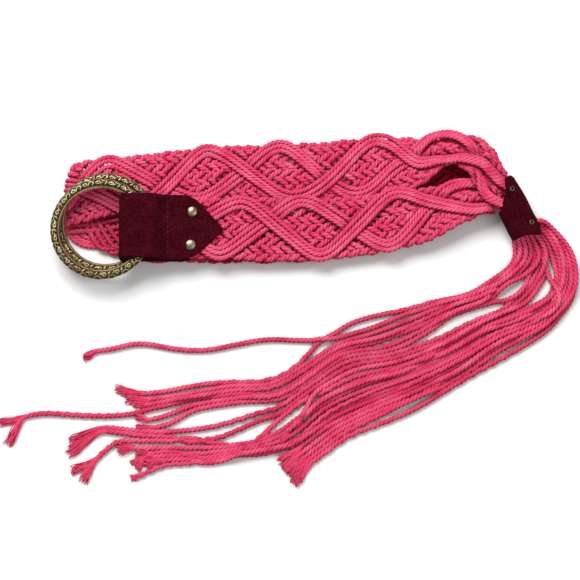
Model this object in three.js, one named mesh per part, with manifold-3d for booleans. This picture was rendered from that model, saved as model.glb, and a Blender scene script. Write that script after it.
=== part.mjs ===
// A flat braided cord belt with two O-rings, a suede tab, a suede collar and a long fringe.
// Millimetres, +Z up. The belt lies folded on a flat surface at z = 0.
import * as THREE from "three";
import { mergeVertices } from "three/addons/utils/BufferGeometryUtils.js";
import Module from "manifold-3d";

const wasm = await Module();
wasm.setup();

// Driving sizes
const CLEARANCE = 0.3;
const BAND_THICKNESS = 5.6;
const BAND_WIDTH = 43;
const LEATHER = 1.5;
const RING_RADIUS = 28.5;
const RING_WIRE = 3.1;
const RING_RELIEF = 0.35;
const TAB_WIDTH = 40.6;
const TAB_TILT = 11;
const RIVET_HEAD = 3.3;
const RIVET_SHANK = 1.3;
const CORD_HEIGHT = 3.3;

const HALF_THICK = BAND_THICKNESS / 2;
const degrees = THREE.MathUtils.degToRad;
const lerp = THREE.MathUtils.lerp;

// Finishes
const FINISH = {
  cord: { color: 0xd8486e, roughness: 0.85, metalness: 0 },
  suede: { color: 0x4a1622, roughness: 0.95, metalness: 0 },
  brass: { color: 0x8d7a55, roughness: 0.4, metalness: 0.9 },
  nickel: { color: 0x9a948a, roughness: 0.35, metalness: 0.9 },
};

const belt = new THREE.Group();

function addPiece(name, geometry, finish, parent = belt) {
  const mesh = new THREE.Mesh(geometry, new THREE.MeshStandardMaterial(FINISH[finish]));
  mesh.name = name;
  parent.add(mesh);
  return mesh;
}

// Solid geometry helpers

function toSolid(geometry) {
  const bare = geometry.clone();
  bare.deleteAttribute("normal");
  bare.deleteAttribute("uv");
  const merged = mergeVertices(bare, 1e-4);
  const vertProperties = new Float32Array(merged.attributes.position.array);
  const triVerts = new Uint32Array(merged.index.array);
  return new wasm.Manifold(new wasm.Mesh({ numProp: 3, vertProperties, triVerts }));
}

function toGeometry(solid) {
  const mesh = solid.getMesh();
  const geometry = new THREE.BufferGeometry();
  geometry.setAttribute("position", new THREE.BufferAttribute(new Float32Array(mesh.vertProperties), 3));
  geometry.setIndex(new THREE.BufferAttribute(new Uint32Array(mesh.triVerts), 1));
  geometry.computeVertexNormals();
  return geometry;
}

// Closed skin through rings of points. The rings turn anticlockwise seen against the travel.
function loft(rings, closed = false) {
  const sides = rings[0].length;
  const positions = rings.flat().flatMap((p) => [p.x, p.y, p.z]);
  const index = [];
  const spans = closed ? rings.length : rings.length - 1;
  for (let i = 0; i < spans; i++) {
    const near = i * sides;
    const far = ((i + 1) % rings.length) * sides;
    for (let j = 0; j < sides; j++) {
      const k = (j + 1) % sides;
      index.push(near + j, near + k, far + k);
      index.push(near + j, far + k, far + j);
    }
  }
  if (!closed) {
    const last = (rings.length - 1) * sides;
    for (let j = 1; j < sides - 1; j++) {
      index.push(0, j + 1, j);
      index.push(last, last + j, last + j + 1);
    }
  }
  const geometry = new THREE.BufferGeometry();
  geometry.setAttribute("position", new THREE.Float32BufferAttribute(positions, 3));
  geometry.setIndex(index);
  geometry.computeVertexNormals();
  return geometry;
}

// Braided band: rows of its middle line, in the order in which the band runs.
// x, y, z of the middle, width across, and bank, which lifts the far edge.
const UNDER_MID = HALF_THICK;
const LEFT_FOLD = { x: -135.5, y: 58, angle: degrees(83), radius: HALF_THICK + 0.3 };
const RIGHT_FOLD = { x: 115, y: 55.5, drift: 5, radius: 5.7, width: 27, lowWidth: 34 };
const BUNDLE = { width: 15.6, height: 11 };

const FRONT_RUN = [
  { x: -73.8, y: 35.4, z: 14.5, width: 38.5, bank: 11 },
  { x: -58, y: 35.4, z: 14.5, width: 39.5, bank: 11 },
  { x: -42, y: 35.6, z: 14.4, width: 41.5, bank: 11 },
  { x: -22, y: 35.8, z: 12.2, width: 43, bank: 7 },
  { x: 2, y: 36.2, z: 9.6, width: 43, bank: 2 },
  { x: 28, y: 37.6, z: 8.8, width: 43, bank: 0 },
  { x: 55, y: 41, z: 9.0, width: 42, bank: 0 },
  { x: 80, y: 45.6, z: 10.5, width: 39, bank: 0 },
  { x: 99, y: 50.5, z: 12.9, width: 33, bank: 0 },
];
const UNDER_RUN = [
  { x: 96, y: 60, z: 2.8, width: 33, bank: 0 },
  { x: 79, y: 52, z: 2.8, width: 30, bank: 0 },
  { x: 60, y: 44, z: 2.8, width: 29, bank: 0 },
  { x: 20, y: 36, z: 2.8, width: 34, bank: 0 },
  { x: -25, y: 33.8, z: 2.8, width: 35, bank: 0 },
  { x: -65, y: 34.2, z: 2.8, width: 35, bank: 0 },
  { x: -98, y: 37.8, z: 2.8, width: 40, bank: 0 },
  { x: -120, y: 47.5, z: 2.8, width: 42, bank: 0 },
];
const BACK_RUN = [
  { x: -122, y: 63.8, z: 9.0, width: 41.6, bank: 0 },
  { x: -104, y: 66.5, z: 8.9, width: 40.6, bank: -1 },
  { x: -84, y: 69, z: 8.2, width: 41.7, bank: -6 },
  { x: -62, y: 72.6, z: 6.4, width: 42.3, bank: -8 },
  { x: -40, y: 75.2, z: 4.3, width: 42.6, bank: -5 },
  { x: -15, y: 76, z: 2.8, width: 42.5, bank: 0 },
  { x: 10, y: 76.9, z: 2.8, width: 43, bank: 0 },
  { x: 35, y: 79, z: 2.9, width: 43, bank: 0 },
  { x: 60, y: 81.8, z: 4.4, width: 40.5, bank: 0 },
  { x: 79, y: 84.4, z: 8.5, width: 33, bank: 0 },
  { x: 94, y: 86.7, z: 14.5, width: 27, bank: 4 },
  { x: 108, y: 84.5, z: 19.5, width: 27, bank: -4 },
  { x: 120.5, y: 77, z: 20.6, width: 26, bank: -10 },
];

// Collar: where its axis starts and ends, and how its leather is cut.
const COLLAR = {
  mouth: new THREE.Vector3(133.8, 58.2, 15.4),
  end: new THREE.Vector3(147.9, 32.2, 9.2),
  width: 20,
  height: 15.4,
  seam: 1.2,
  undercut: 0.75,
};

// Cut of the collar's mouth: way along the axis at ways across it.
const MOUTH_CUT = [
  { side: -9.8, along: 9.8 },
  { side: -1.1, along: 0.5 },
  { side: 2.6, along: -8.2 },
  { side: 6.4, along: -8.6 },
  { side: 10, along: -5.8 },
];

// Cut of its other end, where the outer cords come out under the leather's right edge.
const END_CUT = [
  { side: -9.8, along: -2 },
  { side: 0, along: 0.5 },
  { side: 6, along: 2.9 },
  { side: 8.5, along: -2 },
  { side: 10, along: -10.5 },
];

const creaseNormal = new THREE.Vector2(-Math.sin(LEFT_FOLD.angle), Math.cos(LEFT_FOLD.angle));
const foldGirth = Math.PI * LEFT_FOLD.radius;

function pastCrease(p) {
  return (p.x - LEFT_FOLD.x) * creaseNormal.x + (p.y - LEFT_FOLD.y) * creaseNormal.y;
}

// Lays a row of the back run out flat, past the left fold, as if the band was never folded.
function unfolded(row) {
  const shift = foldGirth - 2 * pastCrease(row);
  const z = 2 * (UNDER_MID + LEFT_FOLD.radius) - row.z;
  return { ...row, x: row.x + shift * creaseNormal.x, y: row.y + shift * creaseNormal.y, z };
}

// Folds a point of the flat layout up and over the left crease.
function foldedOver(p) {
  const past = pastCrease(p);
  if (past <= 0) return p;
  const { radius } = LEFT_FOLD;
  const reach = radius - (p.z - UNDER_MID);
  const turn = Math.min(past / radius, Math.PI);
  const along = past < foldGirth ? reach * Math.sin(turn) : foldGirth - past;
  const z = UNDER_MID + radius - reach * Math.cos(turn);
  const shift = along - past;
  return new THREE.Vector3(p.x + shift * creaseNormal.x, p.y + shift * creaseNormal.y, z);
}

function rightFoldRows() {
  const { x, y, drift, radius, width, lowWidth } = RIGHT_FOLD;
  return [0, 36, 72, 108, 144, 180].map((angle) => ({
    x: x + radius * Math.sin(degrees(angle)),
    y: y + (drift * angle) / 180,
    z: UNDER_MID + radius + radius * Math.cos(degrees(angle)),
    width: lerp(width, lowWidth, angle / 180),
    bank: 0,
  }));
}

function collarRow(share, width) {
  const p = COLLAR.mouth.clone().lerp(COLLAR.end, share);
  return { x: p.x, y: p.y, z: p.z, width, bank: 0 };
}

// Gathered cords: share of the way along the collar's axis, before the mouth where negative.
const GATHERED = [
  { share: -0.6, width: 20 },
  { share: -0.35, width: BUNDLE.width },
  { share: 0, width: BUNDLE.width },
  { share: 0.42, width: BUNDLE.width },
];
const rows = [
  ...FRONT_RUN,
  ...rightFoldRows(),
  ...UNDER_RUN,
  ...BACK_RUN.map(unfolded),
  ...GATHERED.map(({ share, width }) => unfolded(collarRow(share, width))),
];
const middleLine = new THREE.CatmullRomCurve3(
  rows.map((r) => new THREE.Vector3(r.x, r.y, r.z)),
  false,
  "centripetal",
);

middleLine.arcLengthDivisions = 2000;
const bandLength = middleLine.getLength();
const rollAt = lengthWhere((p) => p.z < UNDER_MID + RIGHT_FOLD.radius && p.x > RIGHT_FOLD.x);
const creaseAt = lengthWhere((p) => pastCrease(p) > foldGirth / 2);

function rowValue(t, column) {
  const place = t * (rows.length - 1);
  const i = Math.min(Math.floor(place), rows.length - 2);
  return lerp(rows[i][column], rows[i + 1][column], place - i);
}

// How far the cords are gathered from a flat band (0) into a round bundle (1).
function gathering(width) {
  return THREE.MathUtils.smoothstep(-width, -30, -BUNDLE.width);
}

function bandFrame(u) {
  const t = middleLine.getUtoTmapping(u / bandLength);
  const along = middleLine.getTangent(t);
  const across = new THREE.Vector3(0, 1, 0).addScaledVector(along, -along.y).normalize();
  const up = new THREE.Vector3().crossVectors(along, across);
  const bank = degrees(rowValue(t, "bank"));
  const tilted = across.clone().multiplyScalar(Math.cos(bank)).addScaledVector(up, Math.sin(bank));
  return { middle: middleLine.getPoint(t), across: tilted, up: up.crossVectors(along, tilted) };
}

function onBand(frame, v, w) {
  const flat = frame.middle.clone().addScaledVector(frame.across, v).addScaledVector(frame.up, w);
  return foldedOver(flat);
}

// Wave bands: two groups of floating cords that zigzag from edge to edge over the face.
const WAVE = { pitch: 104, starts: [41.9, 82.8], width: 6.5, rise: 0.6, bulge: 1.0 };
const BAND_SECTION = [
  [1, 0], [0.93, 0.62], [0.62, 1], [0.21, 1], [-0.21, 1], [-0.62, 1],
  [-0.93, 0.62], [-1, 0], [-0.93, -0.62], [-0.5, -1], [0.5, -1], [0.93, -0.62],
];

// Place of a corner of the band's section round the ellipse of the bundle.
function bundleCorner(corner) {
  const angle = corner <= 7 ? corner * Math.PI / 7 : Math.PI + (corner - 7) * Math.PI / 5;
  return [Math.cos(angle), Math.sin(angle)];
}

function waveRise(u, share) {
  return WAVE.starts.reduce((rise, start) => {
    const phase = (((u - start) / WAVE.pitch) % 1 + 1) % 1;
    const middle = Math.abs(2 * phase - 1) * 2 - 1;
    const off = Math.abs(share - middle) * BAND_WIDTH / 2;
    return Math.max(rise, WAVE.rise * Math.max(0, 1 - off / WAVE.width));
  }, 0);
}

// Length along the middle line at which a test of its points first holds.
function lengthWhere(test) {
  let u = 0;
  while (!test(middleLine.getPointAt(u / bandLength))) u += 0.5;
  return u;
}

function bandStations() {
  const stations = [0];
  while (stations.at(-1) < bandLength - 9) {
    const u = stations.at(-1);
    const nearCrease = Math.abs(u - creaseAt) < 8;
    const nearRoll = Math.abs(u - rollAt) < 13;
    stations.push(u + (nearCrease ? 1.6 : nearRoll ? 3 : 7));
  }
  return [...stations, bandLength];
}

// Sections turn parallel to the left crease as they come near it.
function creaseShear(u) {
  const near = 1 - THREE.MathUtils.smoothstep(Math.abs(u - creaseAt), 8, 36);
  return 0.55 * near;
}

// Ring of points round the band at one length along its middle line.
function bandRing(u) {
  const half = rowValue(middleLine.getUtoTmapping(u / bandLength), "width") / 2;
  const gathered = gathering(half * 2);
  const thick = lerp(HALF_THICK, BUNDLE.height / 2, gathered);
  const frame = bandFrame(u);
  const faceUp = onBand(frame, 0, 1).z > onBand(frame, 0, 0).z + 0.7;
  const open = faceUp && u > 30 && half > 17;
  return BAND_SECTION.map((corner, i) => {
    const [v, w] = bundleCorner(i).map((round, k) => lerp(corner[k], round, gathered));
    const rise = open && w > 0.5 ? waveRise(u, v) : 0;
    const bulge = open && Math.abs(v) > 0.9 ? waveRise(u, Math.sign(v)) / WAVE.rise * WAVE.bulge : 0;
    const side = v * half + Math.sign(v) * bulge;
    const sheared = THREE.MathUtils.clamp(u + creaseShear(u) * side, 0, bandLength);
    const p = onBand(bandFrame(sheared), side, w * thick + rise);
    p.z = Math.max(0, p.z);
    return p;
  });
}

function bandGeometry() {
  return loft(bandStations().map(bandRing));
}

// Suede tab frame: x along the belt, y across the tab, z out of the leather.
const TAB = { y: 36.3, z: 10, fold: -105.7, stitches: -75.6, shoulder: -66, tip: -41, backEnd: -53 };
const POCKET = 4 * RING_WIRE + 3 * CLEARANCE;
const BAND_POCKET = BAND_THICKNESS + 2 * CLEARANCE;
const tabFrame = new THREE.Group();
tabFrame.position.set(0, TAB.y, TAB.z);
tabFrame.rotation.x = degrees(TAB_TILT);
belt.add(tabFrame);

// Leather strip in side view: one loop round both rings, then flat on both sides of the band.
function tabProfile() {
  const corner = 4;
  const top = LEATHER + POCKET;
  const low = LEATHER + BAND_POCKET;
  const slopeStart = TAB.stitches - 10.5;
  const slopeEnd = TAB.stitches;
  const inner = TAB.fold + LEATHER;
  const shape = new THREE.Shape();
  shape.moveTo(TAB.backEnd, 0);
  shape.lineTo(TAB.backEnd, LEATHER);
  shape.lineTo(inner + corner, LEATHER);
  shape.absarc(inner + corner, LEATHER + corner, corner, -Math.PI / 2, Math.PI, true);
  shape.lineTo(inner, top - corner);
  shape.absarc(inner + corner, top - corner, corner, Math.PI, Math.PI / 2, true);
  shape.lineTo(slopeStart, top);
  shape.lineTo(slopeEnd, low);
  shape.lineTo(TAB.tip + 1, low);
  shape.lineTo(TAB.tip + 1, low + LEATHER);
  shape.lineTo(slopeEnd + LEATHER / 2, low + LEATHER);
  shape.lineTo(slopeStart + LEATHER / 2, top + LEATHER);
  const outer = corner + LEATHER;
  shape.lineTo(TAB.fold + outer, top + LEATHER);
  shape.absarc(TAB.fold + outer, top + LEATHER - outer, outer, Math.PI / 2, Math.PI, false);
  shape.lineTo(TAB.fold, outer);
  shape.absarc(TAB.fold + outer, outer, outer, Math.PI, 1.5 * Math.PI, false);
  return shape;
}

// Leather strip seen from above: square at the fold, rounded shoulders, then an ogee point.
function tabOutline() {
  const half = TAB_WIDTH / 2;
  const tip = { x: TAB.tip, y: -1.5 };
  const neck = { x: TAB.tip - 10, y: 11 };
  const shape = new THREE.Shape();
  shape.moveTo(TAB.fold - 2, -half);
  shape.lineTo(TAB.shoulder, -half);
  shape.quadraticCurveTo(neck.x - 5, -half, neck.x, -neck.y);
  shape.quadraticCurveTo(neck.x + 4, -neck.y + 5, tip.x, tip.y);
  shape.quadraticCurveTo(neck.x + 4, neck.y - 5, neck.x, neck.y);
  shape.quadraticCurveTo(neck.x - 5, half, TAB.shoulder, half);
  shape.lineTo(TAB.fold - 2, half);
  return shape;
}

const RIVETS = [
  { name: "tab_rivet_far", x: -60.5, y: 9.6 },
  { name: "tab_rivet_near", x: -61.4, y: -11.2 },
];

function shankHole(rivet) {
  const stack = 2 * LEATHER + BAND_POCKET;
  const radius = RIVET_SHANK + CLEARANCE;
  const hole = new THREE.CylinderGeometry(radius, radius, stack + 2, 10);
  hole.rotateX(Math.PI / 2);
  hole.translate(rivet.x, rivet.y, stack / 2);
  return hole;
}

function tabGeometry() {
  const strip = new THREE.ExtrudeGeometry(tabProfile(), {
    depth: TAB_WIDTH + 4,
    bevelEnabled: false,
    curveSegments: 4,
  });
  strip.rotateX(Math.PI / 2);
  strip.translate(0, TAB_WIDTH / 2 + 2, 0);
  const outline = new THREE.ExtrudeGeometry(tabOutline(), {
    depth: 60,
    bevelEnabled: false,
    curveSegments: 5,
  });
  outline.translate(0, 0, -20);
  let tab = toSolid(strip).intersect(toSolid(outline));
  RIVETS.forEach((rivet) => {
    tab = tab.subtract(toSolid(shankHole(rivet)));
  });
  return toGeometry(tab);
}

// Rivet: domed head over the leather, shank through it, flat washer behind.
function rivetGeometry() {
  const stack = 2 * LEATHER + BAND_POCKET;
  const low = -CLEARANCE - 0.9;
  const seat = stack + CLEARANCE;
  const dome = [0, 30, 60, 90].map((a) => [
    RIVET_HEAD * Math.cos(degrees(a)),
    seat + 0.5 + 1.3 * Math.sin(degrees(a)),
  ]);
  const profile = [
    [0, low], [RIVET_HEAD - 0.3, low], [RIVET_HEAD - 0.3, -CLEARANCE],
    [RIVET_SHANK, -CLEARANCE], [RIVET_SHANK, seat], [RIVET_HEAD, seat],
    ...dome.slice(0, 3), [0, seat + 1.8],
  ].map(([r, z]) => new THREE.Vector2(r, z));
  const rivet = new THREE.LatheGeometry(profile, 12);
  rivet.rotateX(Math.PI / 2);
  return rivet;
}

// O-ring: round wire with a raised scroll that winds round it.
const RINGS = [
  { name: "ring_lower", x: -114, y: 3.0, layer: 0, hand: 1 },
  { name: "ring_upper", x: -116.5, y: -1.7, layer: 1, hand: -1 },
];

function ringGeometry(hand) {
  const around = 48;
  const sides = 10;
  const rings = [];
  for (let i = 0; i < around; i++) {
    const a = (2 * Math.PI * i) / around;
    const ring = [];
    for (let j = 0; j < sides; j++) {
      const b = (2 * Math.PI * j) / sides;
      const scroll = Math.cos(12 * a + hand * 2 * b);
      const r = RING_WIRE - RING_RELIEF * (0.5 - 0.5 * scroll);
      const reach = RING_RADIUS + r * Math.cos(b);
      ring.push(new THREE.Vector3(reach * Math.cos(a), reach * Math.sin(a), r * Math.sin(b)));
    }
    rings.push(ring.reverse());
  }
  return loft(rings, true);
}

// Collar: a leather strip wound once round the gathered cords, its edge overlapping at a seam.
const collarAxis = COLLAR.end.clone().sub(COLLAR.mouth);
const collarLength = collarAxis.length();
collarAxis.normalize();
const collarSide = new THREE.Vector3(-collarAxis.y, collarAxis.x, 0).normalize();
const collarUp = new THREE.Vector3().crossVectors(collarSide, collarAxis).normalize();
if (collarUp.z < 0) collarUp.negate();

// Point inside the collar, at a share of its length, square to its axis.
function inCollar(share, side, up) {
  return COLLAR.mouth.clone()
    .addScaledVector(collarAxis, collarLength * share)
    .addScaledVector(collarSide, side)
    .addScaledVector(collarUp, up);
}

function cutAt(cut, side) {
  const next = cut.findIndex((mark) => mark.side >= side);
  if (next < 1) return cut.at(next).along;
  const [a, b] = [cut[next - 1], cut[next]];
  return lerp(a.along, b.along, (side - a.side) / (b.side - a.side));
}

// Point on the collar's leather, whose two ends are cut on a slant.
function onCollar(share, side, up) {
  const slant = lerp(cutAt(MOUTH_CUT, side), cutAt(END_CUT, side), share);
  const undercut = COLLAR.undercut * share * Math.min(0, up);
  return inCollar(share, side, up).addScaledVector(collarAxis, slant + undercut);
}

// Thickness of the wrapped leather at an angle round the collar: double past the seam.
function collarWall(angle) {
  const fromSeam = ((angle % (2 * Math.PI)) + 2 * Math.PI) % (2 * Math.PI);
  const start = degrees(20);
  const stop = degrees(82);
  if (fromSeam <= start || fromSeam >= stop) return LEATHER;
  return LEATHER + COLLAR.seam * Math.min(1, (fromSeam - start) / degrees(25));
}

function collarGeometry() {
  const sides = 20;
  const section = (share, wallOf) => {
    const ring = [];
    for (let j = 0; j < sides; j++) {
      const a = (2 * Math.PI * j) / sides;
      const wall = wallOf(a);
      const side = (COLLAR.width / 2 - LEATHER + wall) * Math.cos(a);
      const up = (COLLAR.height / 2 - LEATHER + wall) * Math.sin(a);
      ring.push(onCollar(share, side, up));
    }
    return ring;
  };
  const levels = [0, 0.2, 0.4, 0.6, 0.8, 1];
  const outer = levels.map((share) => section(share, collarWall));
  const inner = levels.map((share) => section(share, () => 0)).reverse();
  return loft([...outer, ...inner], true);
}

const EYELETS = [
  { name: "collar_eyelet_upper", share: 0.21, angle: 73 },
  { name: "collar_eyelet_lower", share: 0.8, angle: 69 },
];

function eyeletGeometry() {
  const profile = [[0.7, 0], [1.7, 0], [1.7, 0.5], [1.3, 0.9], [0.7, 0.7]];
  const points = profile.map(([r, z]) => new THREE.Vector2(r, z));
  const eyelet = new THREE.LatheGeometry([...points, points[0].clone()], 12);
  eyelet.rotateX(Math.PI / 2);
  return eyelet;
}

function placeEyelet({ name, share, angle }) {
  const a = degrees(angle);
  const grow = CLEARANCE + collarWall(a) - LEATHER;
  const side = (COLLAR.width / 2 + grow) * Math.cos(a);
  const up = (COLLAR.height / 2 + grow) * Math.sin(a);
  const normal = collarSide.clone().multiplyScalar(Math.cos(a) / COLLAR.width)
    .addScaledVector(collarUp, Math.sin(a) / COLLAR.height).normalize();
  const eyelet = addPiece(name, eyeletGeometry(), "nickel");
  eyelet.position.copy(onCollar(share, side, up).addScaledVector(normal, 0.15));
  eyelet.quaternion.setFromUnitVectors(new THREE.Vector3(0, 0, 1), normal);
}

// Fringe: the fan of cords between its inner and outer edge, from the collar to the ends.
const FAN = [
  { innerX: 140.1, innerY: 23.5, outerX: 170, outerY: 28.6, z: 5.5 },
  { innerX: 135.2, innerY: 13, outerX: 176.5, outerY: 11.2, z: 3.5 },
  { innerX: 125.9, innerY: 4.5, outerX: 173.6, outerY: -8.6, z: 2.4 },
  { innerX: 110.4, innerY: -1.4, outerX: 160, outerY: -25.8, z: 1.9 },
  { innerX: 90.5, innerY: -6.6, outerX: 137.8, outerY: -42.3, z: 1.7 },
  { innerX: 69.4, innerY: -12.6, outerX: 111.8, outerY: -58.1, z: 1.65 },
  { innerX: 47.1, innerY: -20.5, outerX: 85.8, outerY: -73.9, z: 1.65 },
  { innerX: 27.9, innerY: -35.7, outerX: 59.8, outerY: -86.4, z: 1.65 },
  { innerX: 8.1, innerY: -49.5, outerX: 33.1, outerY: -98.3, z: 1.65 },
  { innerX: -13.6, innerY: -58.7, outerX: 10.2, outerY: -108.2, z: 1.65 },
  { innerX: -38.4, innerY: -59.4, outerX: -18.4, outerY: -105.6, z: 1.65 },
  { innerX: -65.1, innerY: -64, outerX: -47.5, outerY: -108.8, z: 1.65 },
];

// Locks: share across the fan, width, last fan row that they follow, then their own way on.
const LOCKS = [
  { share: 0.03, width: 3.6, last: 6, tail: [[44, -20.5], [29, -27.5], [13, -32], [-12, -33.2], [-38, -38.6],
    [-56, -40.4], [-76, -36.4], [-98, -36], [-119, -39.6]] },
  { share: 0.1, width: 7.5, last: 11, tail: [[-68, -66], [-90, -67.5], [-106, -66]] },
  { share: 0.22, width: 7, last: 11, tail: [[-66, -72.4], [-82, -74.4], [-95, -75]] },
  { share: 0.33, width: 6.5, last: 11, tail: [[-88, -81.6], [-116, -81.8], [-146, -80.6],
    [-160, -83], [-172, -92]] },
  { share: 0.45, width: 6, last: 9, tail: [[-12, -84], [-38, -90], [-66, -92.6], [-90, -92]] },
  { share: 0.56, width: 6.5, last: 9, tail: [[-8, -89.5], [-34, -94], [-64, -96], [-96, -95],
    [-118, -96.5], [-132, -104]] },
  { share: 0.67, width: 6.5, last: 9, tail: [[-6, -96], [-36, -100], [-66, -101], [-94, -99.5],
    [-110, -103], [-122, -116], [-127, -123]] },
  { share: 0.78, width: 6.5, last: 10, tail: [[-34, -104.4], [-60, -107.4], [-78, -109], [-93, -112.5]] },
  { share: 0.86, width: 7, last: 8, tail: [[28, -91.5], [8, -93.6], [-13, -97.5]] },
  { share: 0.93, width: 7, last: 8, tail: [[18, -103.5], [6, -112.5], [0, -121]] },
  { share: 0.7, width: 6, last: 7, tail: [[46, -61.5], [26, -66], [12, -76], [4, -92]] },
];

function fanPoint(row, share, lift) {
  const { innerX, innerY, outerX, outerY, z } = FAN[row];
  return new THREE.Vector3(lerp(innerX, outerX, share), lerp(innerY, outerY, share), z + lift);
}

// Every second lock leaves the collar in the upper layer and comes down beside the others.
function lockRoute({ share, last, tail }, upper) {
  const side = lerp(-5, 5, share);
  const up = upper ? 2.3 : -2.3;
  const points = [0.72, 1.12].map((level) => inCollar(level, side, up));
  for (let row = 0; row <= last; row++) {
    const lift = upper ? Math.max(0, 2.4 - 0.9 * row) : 0;
    points.push(fanPoint(row, share, lift));
  }
  tail.forEach(([x, y]) => points.push(new THREE.Vector3(x, y, CORD_HEIGHT / 2)));
  return new THREE.CatmullRomCurve3(points, false, "centripetal");
}

function lockGeometry(lock, upper) {
  const route = lockRoute(lock, upper);
  const length = route.getLength();
  const stations = [0, 9, 17, 27, 40];
  const straight = Math.round((length - 40) / 23);
  for (let i = 1; i <= straight; i++) stations.push(lerp(40, length, i / straight));
  const rings = [];
  stations.forEach((station, i) => {
    const t = route.getUtoTmapping(station / length);
    const middle = route.getPoint(t);
    const along = route.getTangent(t);
    const across = new THREE.Vector3(-along.y, along.x, 0).normalize();
    const up = new THREE.Vector3().crossVectors(along, across);
    const spread = i === stations.length - 1 ? 1.35 : 1;
    const width = lerp(3.4, lock.width * spread, THREE.MathUtils.smoothstep(station, 8, 45));
    const ring = [];
    for (let j = 0; j < 8; j++) {
      const a = (2 * Math.PI * (j + 0.5)) / 8;
      const side = (width / 2) * Math.cos(a) / Math.cos(Math.PI / 8);
      const height = (CORD_HEIGHT / 2) * Math.sin(a) / Math.cos(Math.PI / 8);
      const p = middle.clone().addScaledVector(across, side).addScaledVector(up, height);
      p.z = Math.max(0, p.z);
      ring.push(p);
    }
    rings.push(ring);
  });
  return loft(rings);
}

// Head: the cords packed together inside the lower half of the collar.
function fringeHead() {
  const rings = [0.45, 0.8].map((share) => {
    const ring = [];
    for (let j = 0; j < 12; j++) {
      const a = (2 * Math.PI * j) / 12;
      ring.push(inCollar(share, BUNDLE.width / 2 * Math.cos(a), BUNDLE.height / 2 * Math.sin(a)));
    }
    return ring;
  });
  return loft(rings);
}

function fringeGeometry() {
  let fringe = toSolid(fringeHead());
  LOCKS.forEach((lock, i) => {
    fringe = fringe.add(toSolid(lockGeometry(lock, i % 2 === 1)));
  });
  return toGeometry(fringe);
}

// Assembly
let band = toSolid(bandGeometry());
tabFrame.updateMatrixWorld(true);
RIVETS.forEach((rivet) => {
  const hole = shankHole(rivet);
  hole.applyMatrix4(tabFrame.matrixWorld);
  band = band.subtract(toSolid(hole));
});
addPiece("braided_band", toGeometry(band), "cord");
addPiece("suede_tab", tabGeometry(), "suede", tabFrame);
RIVETS.forEach(({ name, x, y }) => {
  addPiece(name, rivetGeometry(), "nickel", tabFrame).position.set(x, y, 0);
});
RINGS.forEach(({ name, x, y, layer, hand }) => {
  const level = LEATHER + CLEARANCE + RING_WIRE + layer * (2 * RING_WIRE + CLEARANCE);
  addPiece(name, ringGeometry(hand), "brass", tabFrame).position.set(x, y, level);
});
addPiece("suede_collar", collarGeometry(), "suede");
EYELETS.forEach(placeEyelet);
addPiece("cord_fringe", fringeGeometry(), "cord");

// The origin is the middle of the belt's footprint, on the surface that it lies on.
belt.updateMatrixWorld(true);
const bounds = new THREE.Box3().setFromObject(belt, true);
const centre = bounds.getCenter(new THREE.Vector3());
belt.position.set(-centre.x, -centre.y, -bounds.min.z);

const group = belt;
export default group;
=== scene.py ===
"""A flat braided cord belt: two O-rings in a suede tab, a suede collar and a long fringe.

Shapes are worked out in millimetres, in the layout frame in which the belt was measured, and are
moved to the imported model's frame, in metres, when a mesh is made.
"""

import logging
import math
from dataclasses import dataclass
from enum import IntEnum

import bpy
import numpy as np
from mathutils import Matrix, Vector


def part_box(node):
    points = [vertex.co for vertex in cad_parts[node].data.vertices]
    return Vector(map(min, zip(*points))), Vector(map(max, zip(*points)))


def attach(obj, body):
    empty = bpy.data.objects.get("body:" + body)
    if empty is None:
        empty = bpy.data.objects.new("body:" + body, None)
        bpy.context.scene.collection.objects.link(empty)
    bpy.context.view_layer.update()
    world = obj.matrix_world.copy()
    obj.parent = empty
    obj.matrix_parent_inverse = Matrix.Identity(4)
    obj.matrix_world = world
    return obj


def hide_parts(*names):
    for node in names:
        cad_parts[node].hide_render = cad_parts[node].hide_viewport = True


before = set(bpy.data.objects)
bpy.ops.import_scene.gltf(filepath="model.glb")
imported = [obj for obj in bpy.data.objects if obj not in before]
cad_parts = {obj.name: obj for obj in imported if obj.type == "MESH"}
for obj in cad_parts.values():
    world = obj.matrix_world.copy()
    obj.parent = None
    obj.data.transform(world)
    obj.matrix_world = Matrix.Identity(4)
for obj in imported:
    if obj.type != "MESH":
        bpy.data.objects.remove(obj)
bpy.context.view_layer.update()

Array = np.ndarray
Colour = tuple[float, float, float]
Place = tuple[float, float, float]
Row = tuple[float, float, float, float, float]
Piece = bpy.types.Object
Material = bpy.types.Material
Tree = bpy.types.NodeTree
Node = bpy.types.Node
Socket = bpy.types.NodeSocket

log = logging.getLogger("belt")

MILLIMETRE = 0.001
TURN = 2 * math.pi


# Measures that the pieces share


@dataclass(frozen=True)
class Cord:
    """The three-ply twisted cotton cord that the belt is made of.

    ply_reach and ply_groove give, for each corner of one ply's section, its share of the cord's
    radius and how deep it lies in the groove beside the ply, which sets the shade painted there.
    downward says between which shares of facing down a side of the cord gets painted shade.
    """

    radius: float = 1.6
    lay: float = 8.6
    plies: int = 3
    ply_reach: tuple[float, ...] = (1.0, 0.91, 0.68, 0.91)
    ply_groove: tuple[float, ...] = (0.0, 0.15, 0.6, 0.15)
    downward: tuple[float, float] = (-0.62, 0.1)


@dataclass(frozen=True)
class TabPlace:
    """Where the suede tab's own frame lies, and the leather's thickness."""

    y: float = 36.3
    z: float = 10.0
    tilt: float = math.radians(11)
    leather: float = 1.5

    def to_layout(self, points: Array) -> Array:
        """Turns points of the tab's frame into the layout frame.

        Args:
            points: Points in the tab's frame, in rows.

        Returns:
            The same points in the layout frame.
        """
        cos, sin = math.cos(self.tilt), math.sin(self.tilt)
        turned = np.array(points, float)
        y, z = turned[..., 1].copy(), turned[..., 2].copy()
        turned[..., 1] = self.y + y * cos - z * sin
        turned[..., 2] = self.z + y * sin + z * cos
        return turned


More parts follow.
